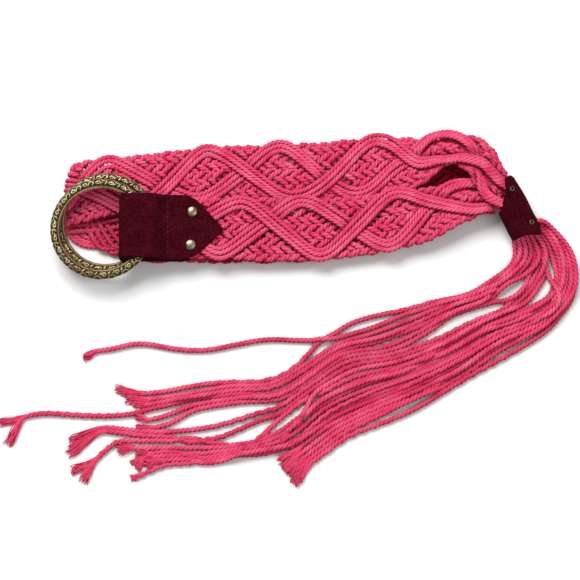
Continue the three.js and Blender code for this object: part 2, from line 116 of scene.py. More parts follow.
CORD = Cord()
TAB_PLACE = TabPlace()
BAND_WIDTH = 43.0
RING_RADIUS = 28.5
UPPER_RING = (-116.5, -1.7, 11.4)
LOWER_RING = (-114.0, 3.0, 4.9)


def layout_shift() -> Array:
    """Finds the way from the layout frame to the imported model's, in millimetres."""
    low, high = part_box("ring_upper")
    packed = np.array((low + high) / 2) / MILLIMETRE
    shift = packed - TAB_PLACE.to_layout(np.array([UPPER_RING]))[0]
    shift[2] = 0
    return shift


SHIFT = layout_shift()


# Curves and skins


def smoothstep(x: Array | float, low: float, high: float) -> Array | float:
    """Rises smoothly from 0 at low to 1 at high."""
    t = np.clip((x - low) / (high - low), 0, 1)
    return t * t * (3 - 2 * t)


def unit(vectors: Array) -> Array:
    """Scales each row to a length of one."""
    return vectors / np.maximum(np.linalg.norm(vectors, axis=-1, keepdims=True), 1e-9)


def smooth_curve(points: Array, per_span: int) -> tuple[Array, Array]:
    """Runs a centripetal Catmull-Rom curve through points.

    Args:
        points: The points to pass, in rows.
        per_span: How many samples each span between two points gets.

    Returns:
        The samples, and for each its place: span number plus share of the span.
    """
    first = 2 * points[0] - points[1]
    last = 2 * points[-1] - points[-2]
    knots = np.vstack([first, points, last])
    steps = np.sqrt(np.maximum(np.linalg.norm(np.diff(knots, axis=0), axis=1), 1e-6))
    weight = np.linspace(0, 1, per_span, endpoint=False)[:, None]
    samples = []
    for i in range(1, len(knots) - 2):
        p0, p1, p2, p3 = knots[i - 1 : i + 3]
        d0, d1, d2 = steps[i - 1 : i + 2]
        start = d1 * ((p1 - p0) / d0 - (p2 - p0) / (d0 + d1) + (p2 - p1) / d1)
        end = d1 * ((p2 - p1) / d1 - (p3 - p1) / (d1 + d2) + (p3 - p2) / d2)
        cubic = 2 * p1 - 2 * p2 + start + end
        square = -3 * p1 + 3 * p2 - 2 * start - end
        samples.append(p1 + weight * (start + weight * (square + weight * cubic)))
    line = np.vstack([*samples, points[-1:]])
    return line, np.linspace(0, len(points) - 1, len(line))


def lengths_along(line: Array) -> Array:
    """Gives the length of a line of points up to each of them."""
    return np.concatenate([[0], np.cumsum(np.linalg.norm(np.diff(line, axis=0), axis=1))])


def resampled(line: Array, step: float) -> Array:
    """Spaces the points of a line evenly, about one step apart."""
    along = lengths_along(line)
    at = np.linspace(0, along[-1], max(2, round(along[-1] / step) + 1))
    return np.stack([np.interp(at, along, line[:, k]) for k in range(3)], axis=1)


def carried_frames(line: Array) -> tuple[Array, Array]:
    """Carries a pair of axes along a line without turning them about it.

    Args:
        line: Points of the line, in rows.

    Returns:
        The side axis and the up axis at each point.
    """
    along = unit(np.gradient(line, axis=0))
    side = np.empty_like(along)
    seed = np.cross(along[0], (0.0, 0.0, 1.0))
    side[0] = unit(seed if np.linalg.norm(seed) > 0.1 else np.cross(along[0], (0.0, 1.0, 0.0)))
    for i in range(1, len(line)):
        side[i] = unit(side[i - 1] - along[i] * np.dot(side[i - 1], along[i]))
    return side, np.cross(side, along)


def level_side(line: Array) -> Array:
    """Gives the level axis square to a line at each of its points."""
    return unit(np.gradient(line, axis=0)[:, [1, 0, 2]] * np.array([-1, 1, 0]))


def tube(line: Array, reach: Array, angle: Array) -> Array:
    """Wraps rings of points round a line.

    Args:
        line: Points of the line, in rows.
        reach: How far from the line the points of each ring lie.
        angle: At which angles they lie.

    Returns:
        Rings, sides and three coordinates.
    """
    side, up = carried_frames(line)
    across, rise = (reach * np.cos(angle))[..., None], (reach * np.sin(angle))[..., None]
    return line[:, None] + (across * side[:, None] + rise * up[:, None])


class Skin:
    """Gathers the closed skins of one piece, and makes its mesh."""

    def __init__(self) -> None:
        """Starts an empty skin."""
        self.points: list[Array] = []
        self.quads: list[Array] = []
        self.caps: list[Array] = []
        self.values: dict[str, list[Array]] = {}
        self.count = 0

    def loft(self, rings: Array, closed: bool = False, **values: Array) -> None:
        """Adds a skin through rings of points, capped at both ends unless it closes on itself.

        Args:
            rings: Points as rings, sides and three coordinates.
            closed: Whether the last ring joins the first.
            values: Named values to keep at each point, as rings and sides.
        """
        count, sides = rings.shape[:2]
        number = np.arange(count * sides).reshape(count, sides)
        if closed:
            number = np.vstack([number, number[:1]])
        near, far = number[:-1], number[1:]
        quads = np.stack([near, np.roll(near, -1, 1), np.roll(far, -1, 1), far], axis=-1)
        quads = quads.reshape(-1, 4)
        points = rings.reshape(-1, 3)
        corners = points[quads] - points.mean(axis=0)
        volume = np.einsum("ij,ij->", corners[:, 0], np.cross(corners[:, 1], corners[:, 2]))
        caps = [] if closed else [number[0][::-1], number[-1]]
        if volume < 0:
            quads = quads[:, ::-1]
            caps = [cap[::-1] for cap in caps]
        self.points.append(points)
        self.quads.append(quads + self.count)
        self.caps += [cap + self.count for cap in caps]
        for name, value in values.items():
            spread = np.broadcast_to(value, (count, sides)).reshape(-1)
            self.values.setdefault(name, []).append(spread)
        self.count += len(points)

    def piece(self, name: str, material: Material, slot: str) -> Piece:
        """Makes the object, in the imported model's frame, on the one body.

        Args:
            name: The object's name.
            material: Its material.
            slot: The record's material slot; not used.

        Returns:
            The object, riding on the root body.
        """
        points = (np.vstack(self.points) + SHIFT) * MILLIMETRE
        quads = np.vstack(self.quads)
        sizes = [4] * len(quads) + [len(cap) for cap in self.caps]
        corners = np.concatenate([quads.reshape(-1), *self.caps])
        mesh = bpy.data.meshes.new(name)
        mesh.vertices.add(len(points))
        mesh.vertices.foreach_set("co", points.astype(np.float32).reshape(-1))
        mesh.loops.add(len(corners))
        mesh.loops.foreach_set("vertex_index", corners.astype(np.int32))
        mesh.polygons.add(len(sizes))
        starts = np.concatenate([[0], np.cumsum(sizes)[:-1]])
        mesh.polygons.foreach_set("loop_start", starts.astype(np.int32))
        mesh.update(calc_edges=True)
        mesh.shade_smooth()
        for label, parts in self.values.items():
            layer = mesh.attributes.new(label, "FLOAT", "POINT")
            layer.data.foreach_set("value", np.concatenate(parts).astype(np.float32))
        mesh.materials.append(material)
        obj = bpy.data.objects.new(name, mesh)
        bpy.context.scene.collection.objects.link(obj)
        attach(obj, "root")
        return obj


def twisted_cord(
    skin: Skin, line: Array, turn: float, girth: Array, tint: float, deep: Array
) -> None:
    """Adds one cord that follows a line, its plies twisting as it goes.

    Args:
        skin: The skin to add to.
        line: Points of the cord's middle, about a millimetre apart.
        turn: The angle at which its plies start.
        girth: Its thickness at each point, as a share of the full one.
        tint: The cord's own tone, from 0 to 1.
        deep: How far it lies below others at each point, from 0 to 1, which paints shade on it.
    """
    radii, grooves = (np.tile(part, CORD.plies) for part in (CORD.ply_reach, CORD.ply_groove))
    angle = np.arange(len(radii)) * TURN / len(radii)
    angle = angle + (lengths_along(line) * TURN / CORD.lay + turn)[:, None]
    reach = CORD.radius * radii * girth[:, None]
    rings = tube(line, reach, angle)
    facing = (rings[..., 2] - line[:, 2:]) / reach
    # Painted shade: corners that face down, lie in a ply's groove or lie below other cords get a
    # groove value that darkens them towards the shade colour.
    painted_shade = smoothstep(-facing, *CORD.downward) + deep[:, None]
    groove = np.clip(np.maximum(grooves, painted_shade) + 0.3 * painted_shade * grooves, 0, 1)
    skin.loft(rings, groove=groove, tint=np.full(1, tint))


def lathe(profile: Array, sides: int) -> Array:
    """Turns a profile of radius and height into rings round the z axis.

    Args:
        profile: Radius and height in rows, from one end to the other.
        sides: How many points each ring gets.

    Returns:
        Rings, sides and three coordinates.
    """
    angle = np.arange(sides) * TURN / sides
    radius, height = profile[:, :1], profile[:, 1:]
    return np.stack([radius * np.cos(angle), radius * np.sin(angle), height + 0 * angle], axis=-1)


# Finishes


def socketed_group(name: str, inputs: dict[str, str], outputs: str) -> tuple[Tree, Node, Node]:
    """Starts a shader node group with named sockets, and a height and colour among its outputs.

    Args:
        name: The group's name.
        inputs: Socket type for each input's name.
        outputs: Names of the outputs that hold one value, parted by spaces.

    Returns:
        The node tree, its input node and its output node.
    """
    tree = bpy.data.node_groups.new(name, "ShaderNodeTree")
    for label, kind in inputs.items():
        tree.interface.new_socket(label, in_out="INPUT", socket_type=kind)
    tree.interface.new_socket("Colour", in_out="OUTPUT", socket_type="NodeSocketColor")
    for label in outputs.split():
        tree.interface.new_socket(label, in_out="OUTPUT", socket_type="NodeSocketFloat")
    return tree, tree.nodes.new("NodeGroupInput"), tree.nodes.new("NodeGroupOutput")


def ranged(tree: Tree, value: Socket, low: float, high: float) -> Socket:
    """Stretches the values between low and high to 0 and 1, and returns the socket."""
    node = tree.nodes.new("ShaderNodeMapRange")
    node.inputs["From Min"].default_value = low
    node.inputs["From Max"].default_value = high
    tree.links.new(value, node.inputs["Value"])
    return node.outputs["Result"]


def noise(tree: Tree, place: Socket, scale: Socket, detail: float, low: float = 0.3) -> Socket:
    """Adds a noise texture whose values are stretched to the range from 0 to 1.

    Args:
        tree: The tree to add to.
        place: Socket with the place.
        scale: Socket with the scale.
        detail: Octaves of the noise.
        low: The noise's value that becomes 0.

    Returns:
        The socket of the stretched value.
    """
    node = tree.nodes.new("ShaderNodeTexNoise")
    node.inputs["Detail"].default_value = detail
    tree.links.new(place, node.inputs["Vector"])
    tree.links.new(scale, node.inputs["Scale"])
    return ranged(tree, node.outputs["Fac"], low, 0.7)


def mixed(tree: Tree, share: Socket, first: Socket, second: Socket) -> Socket:
    """Mixes two colours by a share, and returns the socket of the result."""
    node = tree.nodes.new("ShaderNodeMix")
    node.data_type = "RGBA"
    tree.links.new(share, node.inputs[0])
    tree.links.new(first, node.inputs[6])
    tree.links.new(second, node.inputs[7])
    return node.outputs[2]


def worked(tree: Tree, what: str, first: Socket | float, second: Socket | float) -> Socket:
    """Joins two values by a Math operation, and returns the socket of the result."""
    node = tree.nodes.new("ShaderNodeMath")
    node.operation = what
    for socket, value in zip(node.inputs, (first, second)):
        if isinstance(value, (int, float)):
            socket.default_value = value
        else:
            tree.links.new(value, socket)
    return node.outputs[0]


def fibre_group() -> Tree:
    """Builds the group that colours fibres: patches, fine grain and worn crests, with painted shade
    mixed in by the Groove value.
    """
    kinds = dict.fromkeys(("Base", "Light", "Shade"), "NodeSocketColor")
    values = ("Groove", "Tint", "Speckle", "Patch Scale", "Grain Scale")
    kinds |= dict.fromkeys(values, "NodeSocketFloat")
    tree, given, result = socketed_group("fibre_shades", kinds, "Height Roughness")
    place = tree.nodes.new("ShaderNodeTexCoord").outputs["Object"]
    patch = noise(tree, place, given.outputs["Patch Scale"], 3)
    grain = noise(tree, place, given.outputs["Grain Scale"], 4)
    # Random patches of the lighter colour, more on some cords than on others.
    worn = worked(tree, "MULTIPLY", patch, worked(tree, "ADD", given.outputs["Tint"], 0.25))
    mottled = mixed(tree, worn, given.outputs["Base"], given.outputs["Light"])
    speckle = worked(tree, "MULTIPLY", grain, given.outputs["Speckle"])
    # Painted shade from the Groove value, and dark specks of grain, mix towards the Shade colour.
    deep = worked(tree, "ADD", worked(tree, "MULTIPLY", given.outputs["Groove"], 0.85), speckle)
    tree.links.new(mixed(tree, deep, mottled, given.outputs["Shade"]), result.inputs["Colour"])
    tree.links.new(grain, result.inputs["Height"])
    rough = worked(tree, "ADD", worked(tree, "MULTIPLY", grain, 0.12), 0.8)
    tree.links.new(rough, result.inputs["Roughness"])
    return tree


def patina_group() -> Tree:
    """Builds the group that ages metal: dark recesses, rubbed crests and cloudy tarnish."""
    kinds = dict.fromkeys(("Metal", "Rubbed", "Tarnish"), "NodeSocketColor")
    kinds |= dict.fromkeys(("Recess", "Cloud Scale", "Grain Scale"), "NodeSocketFloat")
    tree, given, result = socketed_group("metal_patina", kinds, "Height Roughness Metallic")
    place = tree.nodes.new("ShaderNodeTexCoord").outputs["Object"]
    cloud = noise(tree, place, given.outputs["Cloud Scale"], 4, 0.35)
    grain = noise(tree, place, given.outputs["Grain Scale"], 3)
    crest = mixed(tree, cloud, given.outputs["Metal"], given.outputs["Rubbed"])
    spots = worked(tree, "MULTIPLY", grain, 0.25)
    dark = ranged(tree, worked(tree, "ADD", given.outputs["Recess"], spots), 0.3, 0.95)
    tree.links.new(mixed(tree, dark, crest, given.outputs["Tarnish"]), result.inputs["Colour"])
    tree.links.new(grain, result.inputs["Height"])
    dulled = worked(tree, "MULTIPLY", dark, 0.35)
    rough = worked(tree, "ADD", dulled, worked(tree, "MULTIPLY", cloud, 0.12))
    tree.links.new(worked(tree, "ADD", rough, 0.24), result.inputs["Roughness"])
    metallic = worked(tree, "SUBTRACT", 1.0, worked(tree, "MULTIPLY", dark, 0.45))
    tree.links.new(metallic, result.inputs["Metallic"])
    return tree


class Effects:
    """The shader node groups that several finishes place with their own values."""

    def __init__(self) -> None:
        """Builds both groups once."""
        self.fibres = fibre_group()
        self.patina = patina_group()


@dataclass(frozen=True)
class Finish:
    """What every finish has: a name, and a fine grain in the surface."""

    name: str
    grain_mm: float
    grain_depth: float

    def started(
        self, group: Tree, colours: dict[str, Colour], cloud: dict[str, float], layers: str
    ) -> tuple[Material, Node, Node]:
        """Starts the material: a Principled shader that one of the groups feeds.

        Args:
            group: The node group to place.
            colours: Colour for each of the group's colour inputs.
            cloud: Size in millimetres of the group's large pattern, by its input.
            layers: Inputs that read the mesh's values of the same name, parted by spaces.

        Returns:
            The material, the Principled shader and the group's node.
        """
        material = bpy.data.materials.new(self.name)
        material.use_nodes = True
        tree = material.node_tree
        shader, placed = tree.nodes["Principled BSDF"], tree.nodes.new("ShaderNodeGroup")
        placed.node_tree = group
        for label, colour in colours.items():
            placed.inputs[label].default_value = (*colour, 1)
        for label, size in {**cloud, "Grain Scale": self.grain_mm}.items():
            placed.inputs[label].default_value = 1 / (size * MILLIMETRE)
        for label in layers.split():
            layer = tree.nodes.new("ShaderNodeAttribute")
            layer.attribute_name = label.lower()
            tree.links.new(layer.outputs["Fac"], placed.inputs[label])
        bump = tree.nodes.new("ShaderNodeBump")
        bump.inputs["Strength"].default_value = 0.8
        bump.inputs["Distance"].default_value = self.grain_depth * MILLIMETRE
        ends = {"Colour": shader.inputs["Base Color"], "Height": bump.inputs["Height"]}
        for output in placed.outputs:
            tree.links.new(output, ends.get(output.name) or shader.inputs[output.name])
        tree.links.new(bump.outputs["Normal"], shader.inputs["Normal"])
        return material, shader, placed


@dataclass(frozen=True)
class FibreFinish(Finish):
    """A finish of cotton, thread or suede: soft, rough, darker in its grain, and with painted shade
    in its grooves.
    """

    base: Colour
    light: Colour
    # shade is the colour of painted shade and of the dark specks of grain
    shade: Colour
    sheen: float
    sheen_tint: Colour
    gloss: float
    speckle: float
    patch_mm: float

    def material(self, effects: Effects) -> Material:
        """Makes the material.

        Args:
            effects: The shared node groups.

        Returns:
            The material.
        """
        colours = {"Base": self.base, "Light": self.light, "Shade": self.shade}
        patch = {"Patch Scale": self.patch_mm}
        material, shader, placed = self.started(effects.fibres, colours, patch, "Groove Tint")
        placed.inputs["Speckle"].default_value = self.speckle
        shader.inputs["Sheen Weight"].default_value = self.sheen
        shader.inputs["Sheen Roughness"].default_value = 0.5
        shader.inputs["Sheen Tint"].default_value = (*self.sheen_tint, 1)
        shader.inputs["Specular IOR Level"].default_value = self.gloss
        return material


@dataclass(frozen=True)
class MetalFinish(Finish):
    """A finish of aged metal, rubbed on its crests and dark in its recesses."""

    metal: Colour
    rubbed: Colour
    tarnish: Colour
    cloud_mm: float

    def material(self, effects: Effects) -> Material:
        """Makes the material.

        Args:
            effects: The shared node groups.

        Returns:
            The material.
        """
        colours = {"Metal": self.metal, "Rubbed": self.rubbed, "Tarnish": self.tarnish}
        cloud = {"Cloud Scale": self.cloud_mm}
        return self.started(effects.patina, colours, cloud, "Recess")[0]


# Each fibre finish's shade colour is painted shade in grooves and under cords, and the dark of its
# grain.
PINK_CORD = FibreFinish(
    name="pink_cotton_cord",
    base=(0.78, 0.05, 0.15),
    light=(0.98, 0.17, 0.33),
    shade=(0.33, 0.001, 0.018),
    sheen=0.06,
    sheen_tint=(1.0, 0.5, 0.6),
    gloss=0.12,
    speckle=0.3,
    patch_mm=9.0,
    grain_mm=0.35,
    grain_depth=0.12,
)
PINK_FRAY = FibreFinish(
    name="pink_cotton_fray",
    base=(0.74, 0.05, 0.14),
    light=(0.9, 0.11, 0.24),
    shade=(0.5, 0.015, 0.06),
    sheen=0.06,
    sheen_tint=(1.0, 0.6, 0.7),
    gloss=0.12,
    speckle=0.3,
    patch_mm=5.0,
    grain_mm=0.3,
    grain_depth=0.08,
)
BURGUNDY_SUEDE = FibreFinish(
    name="burgundy_suede",
    base=(0.052, 0.002, 0.006),
    light=(0.095, 0.006, 0.017),
    shade=(0.013, 0.0004, 0.001),
    sheen=0.015,
    sheen_tint=(0.6, 0.2, 0.25),
    gloss=0.02,
    speckle=0.85,
    patch_mm=8.0,
    grain_mm=1.1,
    grain_depth=0.4,
)
BURGUNDY_THREAD = FibreFinish(
    name="burgundy_thread",
    base=(0.075, 0.01, 0.016),
    light=(0.11, 0.02, 0.028),
    shade=(0.03, 0.003, 0.005),
    sheen=0.1,
    sheen_tint=(0.7, 0.3, 0.35),
    gloss=0.05,
    speckle=0.3,
    patch_mm=4.0,
    grain_mm=0.2,
    grain_depth=0.05,
)
ANTIQUE_BRASS = MetalFinish(
    name="antique_brass",
    metal=(0.34, 0.25, 0.1),
    rubbed=(0.72, 0.6, 0.33),
    tarnish=(0.03, 0.019, 0.006),
    cloud_mm=7.0,
    grain_mm=0.4,
    grain_depth=0.05,
)
RIVET_NICKEL = MetalFinish(
    name="rivet_nickel",
    metal=(0.2, 0.155, 0.105),
    rubbed=(0.38, 0.32, 0.24),
    tarnish=(0.03, 0.022, 0.015),
    cloud_mm=2.5,
    grain_mm=0.3,
    grain_depth=0.03,
)
DARK_EYELET = MetalFinish(
    name="dark_eyelet",
    metal=(0.1, 0.07, 0.06),
    rubbed=(0.2, 0.15, 0.12),
    tarnish=(0.02, 0.012, 0.01),
    cloud_mm=1.5,
    grain_mm=0.2,
    grain_depth=0.03,
)


# The band's middle line


@dataclass
class BandPath:
    """The middle line of the braided band, folded as it lies.

    Rows give x, y, z of the middle, the width across, and the bank in degrees. The crease is the
    left fold, as a point on it and its direction; the roll is the right fold, between the front
    run and the under run. The back run and the gathered end lie past the crease.
    """

    under_mid: float = 2.8
    crease: tuple[float, float] = (-135.5, 58.0)
    crease_angle: float = math.radians(83)
    crease_radius: float = 3.1
    roll_middle: tuple[float, float] = (117.0, 57.0)
    roll_drift: float = 9.0
    roll_radius: float = 5.7
    roll_widths: tuple[float, float] = (25.5, 34.0)
    roll_count: int = 6
    bundle_height: float = 11.0
    front: tuple[Row, ...] = (
        (-73.8, 35.4, 14.5, 38.5, 11),
        (-58, 35.4, 14.5, 39.5, 11),
        (-42, 35.6, 14.4, 41.5, 11),
        (-22, 35.8, 12.2, 43, 7),
        (2, 36.2, 9.6, 43, 2),
        (28, 37.6, 8.8, 43, 0),
        (55, 41, 9.0, 42, 0),
        (80, 45.6, 10.5, 39, 0),
        (99, 51.3, 12.9, 31.5, 0),
    )
    under: tuple[Row, ...] = (
        (96, 65, 2.8, 36, 0),
        (79, 59, 2.8, 37, 0),
        (60, 50, 2.8, 36, 0),
        (20, 36, 2.8, 34, 0),
        (-25, 33.8, 2.8, 35, 0),
        (-65, 34.2, 2.8, 35, 0),
        (-98, 37.8, 2.8, 40, 0),
        (-120, 47.5, 2.8, 42, 0),
    )
    back: tuple[Row, ...] = (
        (-122, 63.8, 9.0, 41.6, 0),
        (-104, 66.5, 8.9, 40.6, -1),
        (-84, 69, 8.2, 41.7, -6),
        (-62, 72.6, 6.4, 42.3, -8),
        (-40, 75.2, 4.3, 42.6, -5),
        (-15, 76, 2.8, 42.5, 0),
        (10, 76.9, 2.8, 43, 0),
        (35, 79, 2.9, 43, 0),
        (60, 81.8, 4.4, 40.5, 0),
        (79, 82.6, 7.5, 37, 0),
        (94, 88.4, 14.5, 23.6, 4),
        (108, 86.2, 19.5, 23.6, -4),
        (119.3, 77.6, 20.5, 25.6, -8),
    )
    gathered: tuple[Row, ...] = (
        (123.3, 70.4, 18.8, 25.6, -4),
        (126.7, 63.3, 17.0, 24.4, 0),
        (131.9, 57.15, 15.4, 20.8, 0),
        (136.0, 52.7, 14.2, 17.5, 0),
        (139.4, 47.9, 12.9, 16.2, 0),
    )
    step: float = 0.4

    def __post_init__(self) -> None:
        """Works out the table of places and axes along the band."""
        normal = (-math.sin(self.crease_angle), math.cos(self.crease_angle))
        self.crease_normal = np.array(normal)
        self.girth = math.pi * self.crease_radius
        rows = [*self.front, *self.roll_rows(), *self.under]
        rows += [self.unfolded(row) for row in (*self.back, *self.gathered)]
        rows = np.array(rows, float)
        line, place = smooth_curve(rows[:, :3], 60)
        along = lengths_along(line)
        self.length = along[-1]
        u = np.arange(0, self.length, self.step)
        middle = np.stack([np.interp(u, along, line[:, k]) for k in range(3)], axis=1)
        at_row = np.interp(u, along, place)
        width, bank = (np.interp(at_row, np.arange(len(rows)), rows[:, k]) for k in (3, 4))
        tangent = unit(np.gradient(middle, axis=0))
        across = unit(np.array([0, 1.0, 0]) - tangent[:, 1:2] * tangent)
        up = np.cross(tangent, across)
        cos, sin = np.cos(np.radians(bank))[:, None], np.sin(np.radians(bank))[:, None]
        tilted = across * cos + up * sin
        self.stations = u
        self.columns = np.hstack([middle, tilted, np.cross(tangent, tilted), width[:, None]])

    def past_crease(self, x: Array | float, y: Array | float) -> Array | float:
        """Gives how far points lie past the left crease."""
        nx, ny = self.crease_normal
        return (x - self.crease[0]) * nx + (y - self.crease[1]) * ny

    def roll_rows(self) -> list[Row]:
        """Gives the rows round the right fold."""
        x, y = self.roll_middle
        radius, (width, low_width) = self.roll_radius, self.roll_widths
        middle = self.under_mid + radius
        rows = []
        for share in np.linspace(0, 1, self.roll_count):
            turn = math.pi * share
            place = (x + radius * math.sin(turn), y + self.roll_drift * share)
            height = middle + radius * math.cos(turn)
            rows.append((*place, height, width + (low_width - width) * share, 0))
        return rows

    def unfolded(self, row: Row) -> Row:
        """Lays a row past the left crease out flat."""
        x, y, z, width, bank = row
        shift = self.girth - 2 * self.past_crease(x, y)
        nx, ny = self.crease_normal
        flat = 2 * (self.under_mid + self.crease_radius) - z
        return (x + shift * nx, y + shift * ny, flat, width, bank)

    def folded(self, points: Array) -> Array:
        """Folds points of the flat layout up and over the left crease.

        Args:
            points: Points in rows, of a band that was never folded there.

        Returns:
            The points where the folded band has them.
        """
        past = self.past_crease(points[:, 0], points[:, 1])
        reach = self.crease_radius - (points[:, 2] - self.under_mid)
        turn = np.clip(past / self.crease_radius, 0, math.pi)
        along = np.where(past < self.girth, reach * np.sin(turn), self.girth - past)
        moved = points.copy()
        over = past > 0
        moved[over, :2] += (along - past)[over, None] * self.crease_normal
        height = self.under_mid + self.crease_radius - reach * np.cos(turn)
        moved[over, 2] = height[over]
        return moved

    def columns_at(self, u: Array) -> Array:
        """Looks up the middle, both axes and the width at lengths along the band."""
        return np.stack([np.interp(u, self.stations, c) for c in self.columns.T], axis=1)

    def lay(self, u: Array, v: Array, w: Array) -> Array:
        """Places points by length along the band, way across it and height over its middle.

        Args:
            u: Lengths along the band.
            v: Ways across it, positive to the far edge.
            w: Heights over its middle, positive on its face.

        Returns:
            Points in the layout frame.
        """
        at = self.columns_at(u)
        return self.folded(at[:, :3] + at[:, 3:6] * v[:, None] + at[:, 6:9] * w[:, None])

    def width_at(self, u: Array) -> Array:
        """Gives the band's width at lengths along it."""
        return self.columns_at(u)[:, 9]


# Pieces


class Rank(IntEnum):
    """What a cord of the braid does; where two kinds cross, the higher one lies on top."""

    GROUND = 0
    LOW_FLOAT = 1
    TOP_FLOAT = 2


@dataclass
class BraidedBand:
    """The flat braid: ground cords over two and under two, and two groups that float over them.

    Lengths are in millimetres. The period is the length in which a cord crosses the band and
    comes back; a group's centre is where its middle cord leaves the near edge. Pairs give the
    lengths or widths between which something changes: gathering turns the braid into a round
    bundle, packing draws its cords together, and between_runs is the stretch that lies under the
    front run, where cords are drawn with longer steps.
    """

    path: BandPath
    period: float = 104.0
    float_pitch: float = 4.85
    first_centre: float = 92.5
    second_centre: float = 30.0
    early_ground: int = 7
    late_ground: int = 4
    uneven: float = 0.3
    weave_rise: float = 1.4
    float_rise: float = 0.75
    float_reach: float = 1.6
    ground_reach: float = -0.7
    ground_girth: float = 1.13
    ground_swell: float = 0.09
    float_girth: float = 1.03
    float_gap: float = 3.0
    float_blur: float = 7.0
    float_drifts: tuple[tuple[float, float, float], ...] = ((2.4, 19.0, 0.6), (0.5, 7.3, 0.0))
    ground_blur: float = 1.8
    rise_blur: float = 0.85
    low_float_dip: tuple[float, float] = (4.6, 10.5)
    ground_dip: tuple[float, float] = (4.4, 6.6)
    wobble: float = 0.22
    wobble_steps: tuple[float, float] = (5.0, 16.0)
    float_wobble: float = 0.8
    widest: float = 0.97
    bundle_press: float = 0.4
    bundle_level: float = 1.1
    # deep_shade paints shade on a cord where it dips below the others
    deep_shade: float = 0.45
    between_runs: tuple[float, float] = (214.0, 452.0)
    seen_step: float = 0.85
    hidden_step: float = 1.4
    # hidden_from and hidden_to fade in and out the painted shade of the run under the upper run
    hidden_from: tuple[float, float] = (196.0, 206.0)
    hidden_to: tuple[float, float] = (380.0, 400.0)
    gathering: tuple[float, float] = (30.0, 17.0)
    packing: tuple[float, float] = (24.0, 16.5)
    lag_between: tuple[float, float] = (190.0, 480.0)
    back_lag: float = 14.5
    fine: float = 0.25

    def __post_init__(self) -> None:
        """Spreads the cords over a period, each by the length at which it leaves the near edge."""
        trio = self.float_pitch * np.arange(-1, 2)
        second, first = self.second_centre + trio, self.first_centre + trio
        early = np.linspace(second[-1], first[0], self.early_ground + 2)[1:-1]
        late = np.linspace(first[-1], second[0] + self.period, self.late_ground + 2)[1:-1]
        even = np.concatenate([second, early, first, late])
        self.offsets = even + np.random.default_rng(7).normal(0, self.uneven, len(even))
        early_ranks = [Rank.GROUND] * self.early_ground
        late_ranks = [Rank.GROUND] * self.late_ground
        self.ranks = [Rank.LOW_FLOAT] * 3 + early_ranks + [Rank.TOP_FLOAT] * 3 + late_ranks
        self.cords = len(even)

    def is_over(self, cord: int, crossing: int) -> bool:
        """Tells whether a ground cord passes over its partner at one of its crossings.

        Args:
            cord: The cord's number.
            crossing: Crossings since the cord left the near edge.

        Returns:
            True where the cord is on top.
        """
        if self.ranks[(cord + crossing) % self.cords] != Rank.GROUND:
            return False
        if crossing < self.cords:
            return (self.cords - crossing) % 4 in (0, 1)
        return (crossing - self.cords) % 4 in (2, 3)

    def heights(self, cord: int) -> Array:
        """Works out a ground cord's height over the band's middle through a full period."""
        places, heights = [0.0], [0.0]
        for crossing in range(1, 2 * self.cords):
            turns, partner = divmod(cord + crossing, self.cords)
            apart = self.offsets[partner] + turns * self.period - self.offsets[cord]
            places.append(apart / 2)
            if crossing == self.cords:
                heights.append(0.0)
            else:
                heights.append(self.weave_rise * (1 if self.is_over(cord, crossing) else -1))
        height = np.interp(self.ways(), places, heights, period=self.period)
        return self.blurred(height, self.rise_blur)

    def ways(self) -> Array:
        """Gives the lengths in one period for which tables are kept."""
        return np.arange(0, self.period, self.fine)

    def zigzag(self, spread: float) -> Array:
        """Works out the way across the band in one period, from -1 to 1, with rounded turns."""
        across = self.blurred(1 - np.abs(self.ways() / (self.period / 2) - 1) * 2, spread)
        return across / np.abs(across).max()

    def blurred(self, values: Array, spread: float) -> Array:
        """Smooths a periodic table with a bell of the given spread, in millimetres."""
        reach = round(spread * 4 / self.fine)
        offset = np.arange(-reach, reach + 1) * self.fine
        bell = np.exp(-0.5 * (offset / spread) ** 2)
        padded = np.concatenate([values[-reach:], values, values[:reach]])
        return np.convolve(padded, bell / bell.sum(), mode="valid")

    def looked_up(self, at: Array, values: Array) -> Array:
        """Looks up a periodic table at lengths along the braid."""
        return np.interp(at, self.ways(), values, period=self.period)

    def stations(self) -> Array:
        """Gives lengths along the band at which cords are drawn, closer where they are seen."""
        start, stop = self.between_runs
        front = np.arange(0, start, self.seen_step)
        under = np.arange(start, stop, self.hidden_step)
        return np.concatenate([front, under, np.arange(stop, self.path.length, self.seen_step)])

    def hidden(self) -> Array:
        """Tells, along the band, where it lies below its own upper run, from 0 to 1; there its
        cords get painted shade.
        """
        u, (start, stop) = self.stations(), self.hidden_to
        return smoothstep(u, *self.hidden_from) * smoothstep(-u, -stop, -start)

    def gap(self, half: Array) -> Array:
        """Gives how far apart a group's floats lie, closer where the band is narrow."""
        return self.float_gap * np.clip(half / 20, 0.3, 1)

    def wave(self, along: Array, half: Array) -> tuple[Array, Array]:
        """Gives the middle of a group of floats across the band, and how its slope spreads it.

        Args:
            along: Lengths since the group left the near edge.
            half: Ways from the band's middle to its outermost cords.

        Returns:
            The ways across, and the growth of the cords' distance with the slope.
        """
        across = self.zigzag(self.float_blur)
        uneven = sum(size * np.sin(along / step + start) for size, step, start in self.float_drifts)
        at = (along + uneven) % self.period
        reach = (half - self.gap(half)) * (0.95 + 0.05 * np.sin(along / 29))
        steep = self.looked_up(at, np.gradient(across, self.fine)) * reach
        return self.looked_up(at, across) * reach, np.hypot(1, steep)

